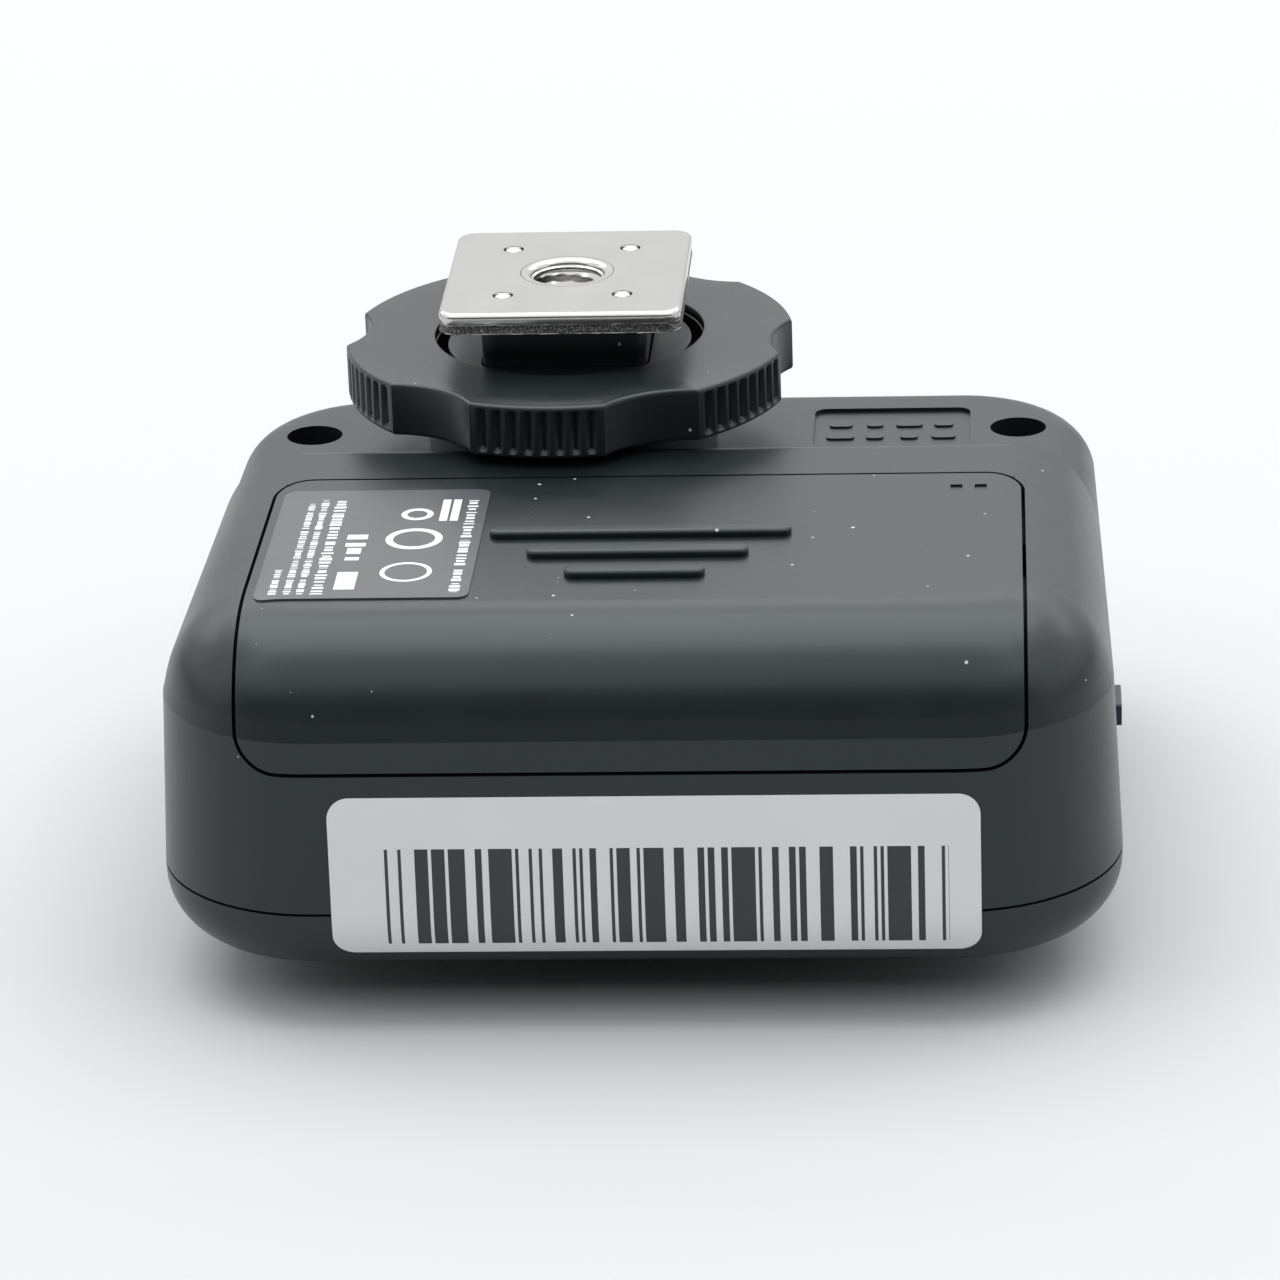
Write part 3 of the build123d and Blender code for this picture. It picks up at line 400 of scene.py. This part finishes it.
def moulded(name, colour, roughness=0.40, grain=0.0003, dust=0.03, depth=0.000012, variation=0.10):
    """Moulded plastic with a fine spark-eroded texture, faint mottling and a little dust."""
    s = Shader(name)
    fine = s.noise(grain, 2.0, 0.6)
    broad = s.noise(0.006, 3.0)
    specks = dust_specks(s, dust, SPECK_CELL)
    tone = s.mix(broad, shade(colour, 1 - variation), shade(colour, 1 + variation))
    tone = s.mix(specks, tone, DUST_COLOUR)
    rough = (broad - 0.5) * 0.10 + (fine - 0.5) * 0.10 + roughness
    return s.finish(
        Base_Color=tone,
        Roughness=rough + specks * 0.3,
        Specular_Tint=PLASTIC_TINT,
        Normal=s.bump(fine, depth, 0.35),
    )


def plated(name, colour, roughness=0.2, along=(1.0, 1.0, 1.0), depth=0.000004):
    """Plated metal with faint rolling marks and patchy gloss."""
    s = Shader(name)
    marks = s.stretched_noise(0.0004, along)
    patches = s.noise(0.003, 3.0)
    pits = s.noise(0.00012, 2.0)
    tone = s.mix(patches, shade(colour, 0.92), colour)
    return s.finish(
        Base_Color=tone,
        Metallic=1.0,
        Roughness=(patches - 0.5) * 0.12 + (marks - 0.5) * 0.10 + roughness,
        Normal=s.bump(pits * 0.5 + marks * 0.5, depth, 0.4),
    )


# ---- Mesh helpers ------------------------------------------------------------------------------
def piece_from(bm, name, material, body, smooth_angle=35.0):
    """Turns a bmesh into a finished piece that rides on a body."""
    bmesh.ops.remove_doubles(bm, verts=bm.verts, dist=MERGE)
    bmesh.ops.recalc_face_normals(bm, faces=bm.faces)
    mesh = bpy.data.meshes.new(name)
    bm.to_mesh(mesh)
    bm.free()
    for polygon in mesh.polygons:
        polygon.use_smooth = True
    mesh.set_sharp_from_angle(angle=math.radians(smooth_angle))
    piece = bpy.data.objects.new(name, mesh)
    bpy.context.scene.collection.objects.link(piece)
    mesh.materials.append(material)
    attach(piece, body)
    return piece


def paint(node, material):
    """Gives a carried-over CAD node its finish."""
    mesh = NODES[node].data
    mesh.materials.clear()
    mesh.materials.append(material)


def skin(bm, levels, count, centre):
    """Closed skin of revolution-like loops round an upright axis.

    Each level is a height and a radius, and the radius is a length or a function of the angle.
    """
    at = Matrix.Translation((*centre, 0.0))
    made = bmesh.ops.create_circle(bm, segments=count, radius=1.0, matrix=at)
    verts = made["verts"]
    bm.edges.index_update()
    edges = {edge for vertex in verts for edge in vertex.link_edges}
    edges = sorted(edges, key=lambda edge: edge.index)
    for step, (height, radius) in enumerate([*levels, levels[0]]):
        if step:
            grown = bmesh.ops.extrude_edge_only(bm, edges=edges)["geom"]
            verts = [part for part in grown if isinstance(part, bmesh.types.BMVert)]
            edges = [part for part in grown if isinstance(part, bmesh.types.BMEdge)]
            edges = [edge for edge in edges if edge.is_boundary]
        for vertex in verts:
            angle = math.atan2(vertex.co.y - centre[1], vertex.co.x - centre[0])
            reach = radius(angle) if callable(radius) else radius
            x = centre[0] + reach * math.cos(angle)
            y = centre[1] + reach * math.sin(angle)
            vertex.co = (x, y, height)


def wave(value):
    """Triangle wave: 0 at whole values, 1 half way between."""
    part = value % 1.0
    return 1.0 - abs(2.0 * part - 1.0)


# ---- Operators ---------------------------------------------------------------------------------
class TRIGGER_OT_housing(bpy.types.Operator):
    """Finish both covers, the battery door, the pedestal and the sleeve"""

    bl_idname = "trigger.housing"
    bl_label = "Housing"

    def execute(self, context):
        finish = context.scene.trigger_finish
        housing = moulded("housing_plastic", finish.housing, 0.34, finish.grain, finish.dust)
        door = moulded("door_plastic", finish.housing, 0.33, finish.grain, finish.dust * 1.6)
        paint("battery_side_cover", housing)
        paint("shoe_side_cover", housing)
        paint("battery_door", door)
        stem = moulded("stem_plastic", finish.stem, 0.36, finish.grain * 2, finish.dust * 0.3, 0.000006)
        paint("foot_pedestal", stem)
        paint("ring_sleeve", moulded("sleeve_plastic", finish.ring, 0.38, finish.grain, 0.01))
        return {"FINISHED"}


class TRIGGER_OT_ring(bpy.types.Operator):
    """Model the lock ring with its lobes, grooves and rounded edges"""

    bl_idname = "trigger.ring"
    bl_label = "Lock ring"

    def execute(self, context):
        sizes = context.scene.trigger_sizes
        finish = context.scene.trigger_finish
        radius = max(FOOT_AXIS.y - RING_LOW.y, RING_HIGH.y - FOOT_AXIS.y)
        bore = (SLEEVE_HIGH.x - SLEEVE_LOW.x) / 2
        lobe_pitch = 360.0 / sizes.lobes
        first = 270.0 + sizes.lobe_turn
        gap_half = math.radians(lobe_pitch / 2 - sizes.lobe_half)
        chord = radius * math.sin(gap_half)
        sagitta = sizes.scallop - radius * (1 - math.cos(gap_half))
        hollow = (chord**2 + sagitta**2) / (2 * sagitta)
        hollow_centre = radius - sizes.scallop + hollow
        groove_half = sizes.groove_angle * 0.40

        def outline(angle, cut=1.0):
            """Radius of the ring's plan at an angle, with the grooves cut so far in."""
            turn = (math.degrees(angle) - first + lobe_pitch / 2) % lobe_pitch - lobe_pitch / 2
            result = radius
            if abs(turn) > sizes.lobe_half:
                away = math.radians(lobe_pitch / 2 - abs(turn))
                across = hollow_centre * math.sin(away)
                result = hollow_centre * math.cos(away) - math.sqrt(hollow**2 - across**2)
            step = turn / sizes.groove_angle + sizes.grooves / 2 + 0.5
            nearest = round(step)
            if 1 <= nearest <= sizes.grooves:
                off = abs(step - nearest) * sizes.groove_angle
                result -= sizes.groove_depth * cut * max(0.0, 1 - off / groove_half)
            return result

        def rim(by, cut):
            """The outline moved in by a length."""
            return lambda angle: outline(angle, cut) - by

        bm = bmesh.new()
        edge = sizes.ring_edge
        arc = [math.radians(a) for a in (0, 22.5, 45, 67.5, 90)]
        low, high = RING_LOW.z, RING_HIGH.z
        half = [(0.0, rim(edge * 1.35, 0.0))]
        half += [(edge * (1 - math.cos(a)), rim(edge * (1 - math.sin(a)), 0.0)) for a in arc]
        half += [(edge + sizes.groove_depth * k / 3, rim(0.0, k / 3)) for k in (1, 2, 3)]
        levels = [(low + down, shape) for down, shape in half]
        fall, band = sizes.ring_fall, sizes.ring_fall_band
        levels += [(high - fall - down, shape) for down, shape in reversed(half)]
        levels += [(high - fall * (1 - k / 4) ** 2, rim(band * k / 4, 0.0)) for k in (1, 2, 3, 4)]
        recess = sizes.recess / 2
        floor = high - sizes.recess_depth
        soft = edge / 4
        levels += [
            (high, recess + soft * 1.6),
            (high, recess + soft),
            (high - soft * 0.3, recess + soft * 0.3),
            (high - soft, recess),
            (floor + soft, recess),
            (floor, recess - soft),
            (floor, bore),
            (low, bore),
        ]
        skin(bm, levels, RING_STEPS, FOOT_AXIS)
        material = moulded("ring_plastic", finish.ring, 0.33, finish.grain * 1.3, finish.dust * 0.6)
        piece = piece_from(bm, "lock_ring_detail", material, "ring", 28.0)
        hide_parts("lock_ring")
        return {"FINISHED"}


class TRIGGER_OT_foot(bpy.types.Operator):
    """Model the foot plate's sheared edge and its cupped pins"""

    bl_idname = "trigger.foot"
    bl_label = "Foot plate"

    def execute(self, context):
        finish = context.scene.trigger_finish
        self.plate(context.scene.trigger_sizes, finish)
        self.pins(context.scene.trigger_sizes, finish)
        return {"FINISHED"}

    def plate(self, sizes, finish):
        """Stamped plate: a rolled upper edge, and a torn band below it that ends in a burr."""
        bm = bmesh.new()
        bm.from_mesh(NODES["foot_plate"].data)
        bmesh.ops.remove_doubles(bm, verts=bm.verts, dist=MERGE)
        bmesh.ops.dissolve_limit(bm, angle_limit=math.radians(1), verts=bm.verts, edges=bm.edges)
        fine = 0.14 * MM
        rows = int(sizes.shear / (fine / 2))
        for row in range(1, rows + 1):
            cut = (0, 0, PLATE_LOW.z + sizes.shear * row / rows)
            everything = bm.verts[:] + bm.edges[:] + bm.faces[:]
            bmesh.ops.bisect_plane(bm, geom=everything, dist=1e-8, plane_co=cut, plane_no=(0, 0, 1))
        half = (PLATE_HIGH - PLATE_LOW) / 2
        centre = (PLATE_HIGH + PLATE_LOW) / 2

        def on_rim(co):
            """Whether a point is in the outer tenth of the plate."""
            return max(abs(co.x - centre.x) / half.x, abs(co.y - centre.y) / half.y) > 0.9

        band = PLATE_LOW.z + sizes.shear * 1.01
        for _ in range(10):
            edges = [
                edge
                for edge in bm.edges
                if edge.calc_length() > fine and all(v.co.z < band and on_rim(v.co) for v in edge.verts)
            ]
            if not edges:
                break
            bmesh.ops.subdivide_edges(bm, edges=edges, cuts=1, use_grid_fill=True)
        for vertex in bm.verts:
            if vertex.co.z < band and on_rim(vertex.co):
                self.tear(vertex, centre, sizes)
        bmesh.ops.triangulate(bm, faces=bm.faces)
        nickel = self.nickel(sizes, finish)
        piece = piece_from(bm, "foot_plate_detail", nickel, "root", 40.0)
        for polygon in piece.data.polygons:
            polygon.use_smooth = abs(polygon.normal.z) < 0.999
        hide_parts("foot_plate")

    def tear(self, vertex, centre, sizes):
        """Moves a point of the torn band in or out."""
        up = (vertex.co.z - PLATE_LOW.z) / sizes.shear
        outward = Vector((vertex.co.x - centre.x, vertex.co.y - centre.y, 0.0)).normalized()
        grain = noise.noise(vertex.co * 2400) * 0.6 + noise.noise(vertex.co * 900) * 0.6
        swell = math.sin(math.pi * min(1.0, max(0.0, 1 - up)) ** 0.7)
        depth = sizes.shear_depth * (grain - 0.9) * swell
        vertex.co += outward * depth
        if up < 0.02:
            vertex.co.z -= sizes.shear_depth * 0.6 * max(0.0, noise.noise(vertex.co * 1500))

    def nickel(self, sizes, finish):
        """Bright plating, dull and dark in the torn band."""
        s = Shader("plate_nickel")
        z = s.axes((0, 0, PLATE_LOW.z))[2]
        torn = s.noise(0.00016, 3.0, 0.7)
        ragged = z + (s.noise(0.0009, 3.0) - 0.5) * 0.0002
        band = 1 - ragged.smooth(sizes.shear * 0.85, sizes.shear * 1.05)
        burr = 1 - z.smooth(0.00004, 0.00012)
        patches = s.noise(0.004, 3.0)
        pits = s.noise(0.00010, 2.0)
        dull = band * (1 - burr)
        tone = s.mix(patches, shade(finish.nickel, 0.95), finish.nickel)
        tone = s.mix(dull * torn.smooth(0.25, 0.55), tone, shade(finish.nickel, 0.13))
        rough = (patches - 0.5) * 0.08 + dull * 0.30 + 0.17
        normal = s.bump(pits, 0.000003, 0.3)
        normal = s.bump(dull * torn, 0.00006, 0.8, normal)
        return s.finish(Base_Color=tone, Metallic=1.0, Roughness=rough, Normal=normal)

    def pins(self, sizes, finish):
        """Pins with cupped ends, just under the plate's face."""
        low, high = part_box("foot_plate_pins")
        outer = sizes.pin / 2
        radius = outer - sizes.pin_gap
        rim = radius * 0.12
        cup = sizes.pin_cup
        bm = bmesh.new()
        for x in (low.x + outer, high.x - outer):
            for y in (low.y + outer, high.y - outer):
                rows = [(low.z, radius), (high.z - rim, radius), (high.z, radius - rim)]
                for share in (0.8, 0.6, 0.4, 0.2):
                    rows.append((high.z - cup * (1 - share**2), (radius - rim) * share))
                rows += [(high.z - cup, radius * 0.02), (low.z, radius * 0.02)]
                skin(bm, rows, PIN_STEPS, (x, y))
        nickel = plated("pin_nickel", finish.nickel, 0.2)
        piece = piece_from(bm, "foot_pins_detail", nickel, "root", 40.0)
        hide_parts("foot_plate_pins")


class TRIGGER_OT_thread(bpy.types.Operator):
    """Model the threaded bush with its screw thread"""

    bl_idname = "trigger.thread"
    bl_label = "Thread bush"

    def execute(self, context):
        sizes = context.scene.trigger_sizes
        finish = context.scene.trigger_finish
        pitch = sizes.thread_pitch
        deep = sizes.thread_root - sizes.thread_crest
        top, bottom, seat = BUSH_HIGH.z, BUSH_LOW.z, PLATE_LOW.z
        head = sizes.bush_head / 2
        body = (BUSH_HIGH.x - BUSH_LOW.x) / 2
        mouth = sizes.thread_mouth

        def flank(height):
            """Radius of the bore at a height: the thread, which starts shallow under the entry."""

            def radius(angle):
                start = min(1.0, (top - lip - height) / (0.4 * pitch))
                return sizes.thread_crest + deep * start * wave((height / pitch) - angle / math.tau)

            return radius

        bm = bmesh.new()
        lip = mouth - sizes.thread_crest
        turns = [math.radians(90 * k / 6) for k in range(7)]
        levels = [(top, head)]
        for turn in turns:
            inward = mouth + lip * (1 - 2 * math.sin(turn)) / 2
            levels.append((top - lip * (1 - math.cos(turn)), inward))
        rows = int((top - lip - bottom) / pitch * THREAD_ROWS)
        heights = [top - lip - (top - lip - bottom) * k / rows for k in range(1, rows + 1)]
        levels += [(height, flank(height)) for height in heights]
        levels += [(bottom, body), (seat, body), (seat, head)]
        skin(bm, levels, THREAD_STEPS, FOOT_AXIS)
        material = plated("thread_steel", finish.steel, 0.22, (1.0, 1.0, 6.0))
        piece = piece_from(bm, "thread_bush_detail", material, "root", 50.0)
        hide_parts("thread_bush")
        return {"FINISHED"}


class TRIGGER_OT_labels(bpy.types.Operator):
    """Print the white label and the dark label with plain marks"""

    bl_idname = "trigger.labels"
    bl_label = "Labels"

    def execute(self, context):
        finish = context.scene.trigger_finish
        self.white(finish)
        self.dark(finish)
        return {"FINISHED"}

    def white(self, finish):
        """White label with a field of upright bars."""
        s = Shader("label_white")
        centre = (SERIAL_LOW + SERIAL_HIGH) / 2
        x, _, z = s.axes(centre)
        half = (SERIAL_HIGH.x - SERIAL_LOW.x) / 2
        unit = 0.24 * MM
        column = (x / unit).floor()
        wide = (x / (unit * 3.0)).floor()
        bars = (s.random(column, 0.37) > 0.52) | (s.random(wide, 7.1) > 0.80)
        bars = bars & (s.random(column, 3.7) > 0.14)
        field = (abs(x - 0.4 * MM) < half * 0.885) & (z < 2.2 * MM) & (z > -5.2 * MM)
        mask = bars & field
        fibres = s.noise(0.0012, 3.0)
        stain = s.noise(0.009, 2.0)
        tone = s.mix(stain, shade(finish.paper, 0.90), finish.paper)
        tone = s.mix(mask, tone, finish.ink)
        rough = (fibres - 0.5) * 0.12 + 0.46
        normal = s.bump(fibres, 0.00001, 0.2)
        paint("serial_label", s.finish(Base_Color=tone, Roughness=rough, Normal=normal))

    def dashes(self, s, x, y, at, half, start, end, pitch):
        """Row of solid dashes in groups along y."""
        stroke = (y / (pitch * MM)).floor()
        part = y / (pitch * MM) - stroke
        word = (y / (pitch * 4.6 * MM)).floor()
        pause = abs(y / (pitch * 4.6 * MM) - word - 0.5) > 0.44
        height = s.random(stroke, at) * 0.35 + 0.65
        off = abs(x - at * MM)
        body = (off < height * half * MM) & (part < s.random(stroke, at * 3.1) * 0.45 + 0.40)
        return body & (1 - pause) & (y > start * MM) & (y < end * MM)

    def dark(self, finish):
        """Dark label with rows of dashes and a few plain shapes."""
        s = Shader("label_dark")
        x, y = s.axes((INFO_LOW.x, INFO_LOW.y, 0.0))[:2]
        width = INFO_HIGH.x - INFO_LOW.x
        length = INFO_HIGH.y - INFO_LOW.y
        rows = (
            (1.3, 0.30, 0.8, 5.6, 0.42),
            (2.35, 0.30, 0.8, 19.0, 0.42),
            (3.3, 0.30, 0.8, 19.8, 0.42),
            (4.5, 0.46, 0.8, 20.0, 0.62),
            (14.4, 0.42, 1.0, 19.4, 0.62),
            (6.4, 0.80, 7.4, 13.6, 1.45),
        )
        marks = None
        for row in rows:
            made = self.dashes(s, x, y, *row)
            marks = made if marks is None else marks | made
        boxes = (
            (6.4, 3.4, 0.75, 1.7),
            (16.0, 16.6, 0.35, 2.2),
            (16.9, 16.6, 0.20, 2.2),
            (12.4, 17.4, 0.30, 2.2),
            (13.2, 17.4, 0.30, 2.2),
        )
        for at_x, at_y, half_x, half_y in boxes:
            box = (abs(x - at_x * MM) < half_x * MM) & (abs(y - at_y * MM) < half_y * MM)
            marks = marks | box
        rings = (
            (10.6, 11.6, 2.1, 1.55),
            (10.6, 5.0, 1.9, 1.55),
            (10.4, 16.6, 1.2, 0.75),
        )
        for at_x, at_y, outer, inner in rings:
            dx = x - at_x * MM
            dy = y - at_y * MM
            away = (dx * dx + dy * dy).math("SQRT")
            marks = marks | ((away < outer * MM) & (away > inner * MM))
        inside = (x > 0.4 * MM) & (x < width - 0.4 * MM) & (y > 0.4 * MM) & (y < length - 0.4 * MM)
        fibres = s.noise(0.0008, 3.0)
        haze = s.noise(0.005, 2.0)
        stock = s.mix(haze, shade(finish.dark_label, 0.9), shade(finish.dark_label, 1.1))
        tone = s.mix(marks & inside, stock, finish.dark_print)
        rough = (fibres - 0.5) * 0.10 + 0.30
        normal = s.bump(fibres, 0.000006, 0.2)
        paint("info_label", s.finish(Base_Color=tone, Roughness=rough, Normal=normal))


class TRIGGER_OT_controls(bpy.types.Operator):
    """Finish the buttons, the power knob, the lamp and the display"""

    bl_idname = "trigger.controls"
    bl_label = "Controls"

    def execute(self, context):
        finish = context.scene.trigger_finish
        rubber = moulded("button_rubber", finish.rubber, 0.55, finish.grain * 0.8, finish.dust)
        for node in ("channel_button", "group_button", "test_button"):
            paint(node, rubber)
        paint("power_knob", moulded("knob_plastic", finish.knob, 0.32, finish.grain, 0.01))
        self.window(finish)
        self.panel(finish)
        s = Shader("lamp_clear")
        cloud = s.noise(0.0008)
        tone = s.mix(cloud, (0.5, 0.5, 0.5), (0.7, 0.7, 0.7))
        paint("status_lamp", s.finish(Base_Color=tone, Roughness=cloud * 0.2 + 0.05))
        return {"FINISHED"}

    def window(self, finish):
        """Tinted window with a dark printed border."""
        s = Shader("display_glass")
        x, y = s.axes((WINDOW_LOW + WINDOW_HIGH) / 2)[:2]
        half_x = (WINDOW_HIGH.x - WINDOW_LOW.x) / 2 - 0.0026
        half_y = (WINDOW_HIGH.y - WINDOW_LOW.y) / 2 - 0.0022
        border = (abs(x) > half_x) | (abs(y) > half_y)
        smears = s.noise(0.006, 3.0)
        paint(
            "display_window",
            s.finish(
                Base_Color=s.mix(border, (0.05, 0.06, 0.055), finish.glass),
                Roughness=smears * 0.06 + 0.03,
                Alpha=border * 0.62 + 0.38,
                IOR=1.49,
            ),
        )

    def panel(self, finish):
        """Display under the window: a pale field with plain cells."""
        s = Shader("module_panel")
        x, y = s.axes((MODULE_LOW + MODULE_HIGH) / 2)[:2]
        column = x / 0.0042
        row = y / 0.0032
        cell = (abs(column - column.floor() - 0.5) < 0.36) & (abs(row - row.floor() - 0.5) < 0.34)
        haze = s.noise(0.004)
        field = s.mix(haze, (0.20, 0.23, 0.20), (0.25, 0.28, 0.25))
        tone = s.mix(cell * 0.25, field, (0.10, 0.12, 0.10))
        paint("display_module", s.finish(Base_Color=tone, Roughness=haze * 0.2 + 0.35))


class TRIGGER_OT_shoe(bpy.types.Operator):
    """Finish the accessory shoe on the table side"""

    bl_idname = "trigger.shoe"
    bl_label = "Accessory shoe"

    def execute(self, context):
        finish = context.scene.trigger_finish
        paint("shoe_rails", plated("rail_steel", finish.steel, 0.30, (1.0, 0.08, 1.0), 0.000006))
        paint("shoe_block", moulded("insulator_plastic", finish.stem, 0.5, finish.grain, 0.01))
        paint("shoe_contacts", plated("contact_brass", finish.brass, 0.22))
        dark = plated("screw_steel", finish.dark_steel, 0.35)
        for node in ("shoe_screws", "case_screws", "foot_mount_screws"):
            paint(node, dark)
        return {"FINISHED"}


class TRIGGER_OT_inside(bpy.types.Operator):
    """Finish the cells, contacts, board and sockets"""

    bl_idname = "trigger.inside"
    bl_label = "Inside"

    def execute(self, context):
        finish = context.scene.trigger_finish
        self.cells(finish)
        bright = plated("spring_steel", finish.nickel, 0.25)
        for node in ("contact_plates", "near_spring", "far_spring", "usb_socket"):
            paint(node, bright)
        paint("radio_module", plated("module_tin", finish.steel, 0.35, (0.2, 1.0, 1.0)))
        dark = moulded("socket_plastic", finish.stem, 0.4, finish.grain, 0.01)
        for node in ("power_switch", "sync_jack", "tact_switches"):
            paint(node, dark)
        s = Shader("board_green")
        cells = {"Vector": s.place, "Scale": 450.0}
        traces = s.node("ShaderNodeTexVoronoi", cells, distance="MANHATTAN")
        lines = traces.smooth(0.40, 0.44)
        tone = s.mix(lines, finish.board, shade(finish.board, 1.8))
        normal = s.bump(lines, 0.00003, 0.4)
        paint("main_board", s.finish(Base_Color=tone, Roughness=lines * 0.1 + 0.3, Normal=normal))
        return {"FINISHED"}

    def cells(self, finish):
        """Printed sleeve with a band, and bare metal at both ends."""
        for node, side in (("near_battery", 1.0), ("far_battery", -1.0)):
            s = Shader("battery_sleeve_" + node)
            low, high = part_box(node)
            x = s.axes((low + high) / 2)[0]
            half = (high.x - low.x) / 2
            along = x * side
            band = along.smooth(half * 0.30, half * 0.31)
            bare = (abs(along) > half - 0.0022) & (abs(along) < half)
            scuffs = s.noise(0.002, 3.0)
            tone = s.mix(band, finish.cell, finish.cell_band)
            tone = s.mix(bare, tone, finish.steel)
            paint(node, s.finish(Base_Color=tone, Metallic=bare * 0.9, Roughness=scuffs * 0.2 + 0.2))


class TRIGGER_OT_stage(bpy.types.Operator):
    """Pale table, soft lights and the camera"""

    bl_idname = "trigger.stage"
    bl_label = "Stage"

    def execute(self, context):
        stage = context.scene.trigger_stage
        self.table(stage)
        self.lights(stage)
        self.camera(context, stage)
        return {"FINISHED"}

    def table(self, stage):
        """Round pale table top at the height that the object stands on."""
        s = Shader("table_paint")
        cloud = s.noise(0.25, 2.0)
        grain = s.noise(0.0006, 2.0)
        tone = s.mix(cloud, shade(stage.floor, 0.985), stage.floor)
        material = s.finish(
            Base_Color=tone,
            Roughness=cloud * 0.05 + 0.75,
            Specular_IOR_Level=0.0,
            Normal=s.bump(grain, 0.00001, 0.1),
        )
        bm = bmesh.new()
        bmesh.ops.create_circle(bm, cap_ends=True, segments=96, radius=TABLE_RADIUS)
        mesh = bpy.data.meshes.new("table")
        bm.to_mesh(mesh)
        bm.free()
        mesh.materials.append(material)
        table = bpy.data.objects.new("table", mesh)
        bpy.context.scene.collection.objects.link(table)

    def lights(self, stage):
        """Soft panels on a dome round the table. Each is given by the angles that it covers."""
        world = bpy.data.worlds.new("room")
        bpy.context.scene.world = world
        world.use_nodes = True
        background = world.node_tree.nodes["Background"]
        background.inputs["Color"].default_value = (0.94, 0.97, 1.0, 1.0)
        background.inputs["Strength"].default_value = stage.room
        self.panel("backdrop", 0, 3, 26, 100, stage.backdrop)
        self.panel("behind", 0, 27, 46, 100, stage.behind)
        self.panel("overhead", 0, 51, 102, 70, stage.overhead)
        self.panel("front", 180, 38, 77, 90, stage.front)
        self.panel("left_side", -85, 8, 58, 60, stage.sides)
        self.panel("right_side", 85, 8, 58, 60, stage.sides)
        bpy.context.scene.view_settings.view_transform = "Standard"

    def panel(self, name, azimuth, low, high, spread, brightness):
        """Panel at an azimuth from straight behind, between two heights, and so wide, all as angles."""
        height_angle = math.radians((low + high) / 2)
        across = Vector((math.cos(math.radians(azimuth)), -math.sin(math.radians(azimuth)), 0.0))
        level = Vector((math.sin(math.radians(azimuth)), math.cos(math.radians(azimuth)), 0.0))
        outward = level * math.cos(height_angle) + Vector((0.0, 0.0, math.sin(height_angle)))
        lamp = bpy.data.lights.new(name, "AREA")
        lamp.shape = "RECTANGLE"
        lamp.size = 2 * DOME * math.tan(math.radians(spread / 2))
        lamp.size_y = 2 * DOME * math.tan(math.radians((high - low) / 2))
        lamp.energy = brightness * lamp.size * lamp.size_y * math.pi
        holder = bpy.data.objects.new(name, lamp)
        turned = Matrix((across, outward.cross(across), outward)).transposed().to_4x4()
        holder.matrix_world = Matrix.Translation(outward * DOME) @ turned
        bpy.context.scene.collection.objects.link(holder)

    def camera(self, context, stage):
        """Camera turned, tilted and rolled about the point that it looks at."""
        turn_cos, turn_sin = math.cos(stage.azimuth), math.sin(stage.azimuth)
        tilt_cos, tilt_sin = math.cos(stage.elevation), math.sin(stage.elevation)
        right = Vector((turn_cos, turn_sin, 0.0))
        away = Vector((-turn_sin, turn_cos, 0.0))
        forward = away * tilt_cos - Vector((0, 0, tilt_sin))
        up = away * tilt_sin + Vector((0, 0, tilt_cos))
        near_edge = Vector((0.0, CAD_BOX[0].y, 0.0))
        target = near_edge + right * VIEW_SIDE + away * VIEW_DEPTH + Vector((0, 0, VIEW_HEIGHT))
        roll_cos, roll_sin = math.cos(stage.roll), math.sin(stage.roll)
        right, up = right * roll_cos - up * roll_sin, right * roll_sin + up * roll_cos
        lens = bpy.data.cameras.new("view")
        lens.lens = stage.lens
        lens.sensor_width = SENSOR_WIDTH
        lens.clip_start = 0.01
        holder = bpy.data.objects.new("view", lens)
        holder.matrix_world = Matrix.Translation(target - forward * stage.distance) @ Matrix(
            (right, up, -forward)
        ).transposed().to_4x4()
        context.scene.collection.objects.link(holder)
        context.scene.camera = holder


OPERATORS = (
    TRIGGER_OT_housing,
    TRIGGER_OT_ring,
    TRIGGER_OT_foot,
    TRIGGER_OT_thread,
    TRIGGER_OT_labels,
    TRIGGER_OT_controls,
    TRIGGER_OT_shoe,
    TRIGGER_OT_inside,
    TRIGGER_OT_stage,
)


class TRIGGER_PT_panel(bpy.types.Panel):
    """Lists the operators and the settings"""

    bl_idname = "TRIGGER_PT_panel"
    bl_label = "Flash Trigger"
    bl_space_type = "VIEW_3D"
    bl_region_type = "UI"
    bl_category = "Flash Trigger"

    def draw(self, context):
        for operator in OPERATORS:
            self.layout.operator(operator.bl_idname)
        scene = context.scene
        for group in (scene.trigger_finish, scene.trigger_sizes, scene.trigger_stage):
            box = self.layout.box()
            for name in group.bl_rna.properties.keys():
                if name not in ("rna_type", "name"):
                    box.prop(group, name)


def register():
    for made in (*SETTINGS, *OPERATORS, TRIGGER_PT_panel):
        bpy.utils.register_class(made)
    bpy.types.Scene.trigger_finish = bpy.props.PointerProperty(type=TriggerFinish)
    bpy.types.Scene.trigger_sizes = bpy.props.PointerProperty(type=TriggerSizes)
    bpy.types.Scene.trigger_stage = bpy.props.PointerProperty(type=TriggerStage)


def unregister():
    del bpy.types.Scene.trigger_stage
    del bpy.types.Scene.trigger_sizes
    del bpy.types.Scene.trigger_finish
    for made in (TRIGGER_PT_panel, *reversed(OPERATORS), *reversed(SETTINGS)):
        bpy.utils.unregister_class(made)


def main():
    register()
    for operator in OPERATORS:
        group, name = operator.bl_idname.split(".")
        getattr(getattr(bpy.ops, group), name)()


if __name__ == "__main__":
    main()
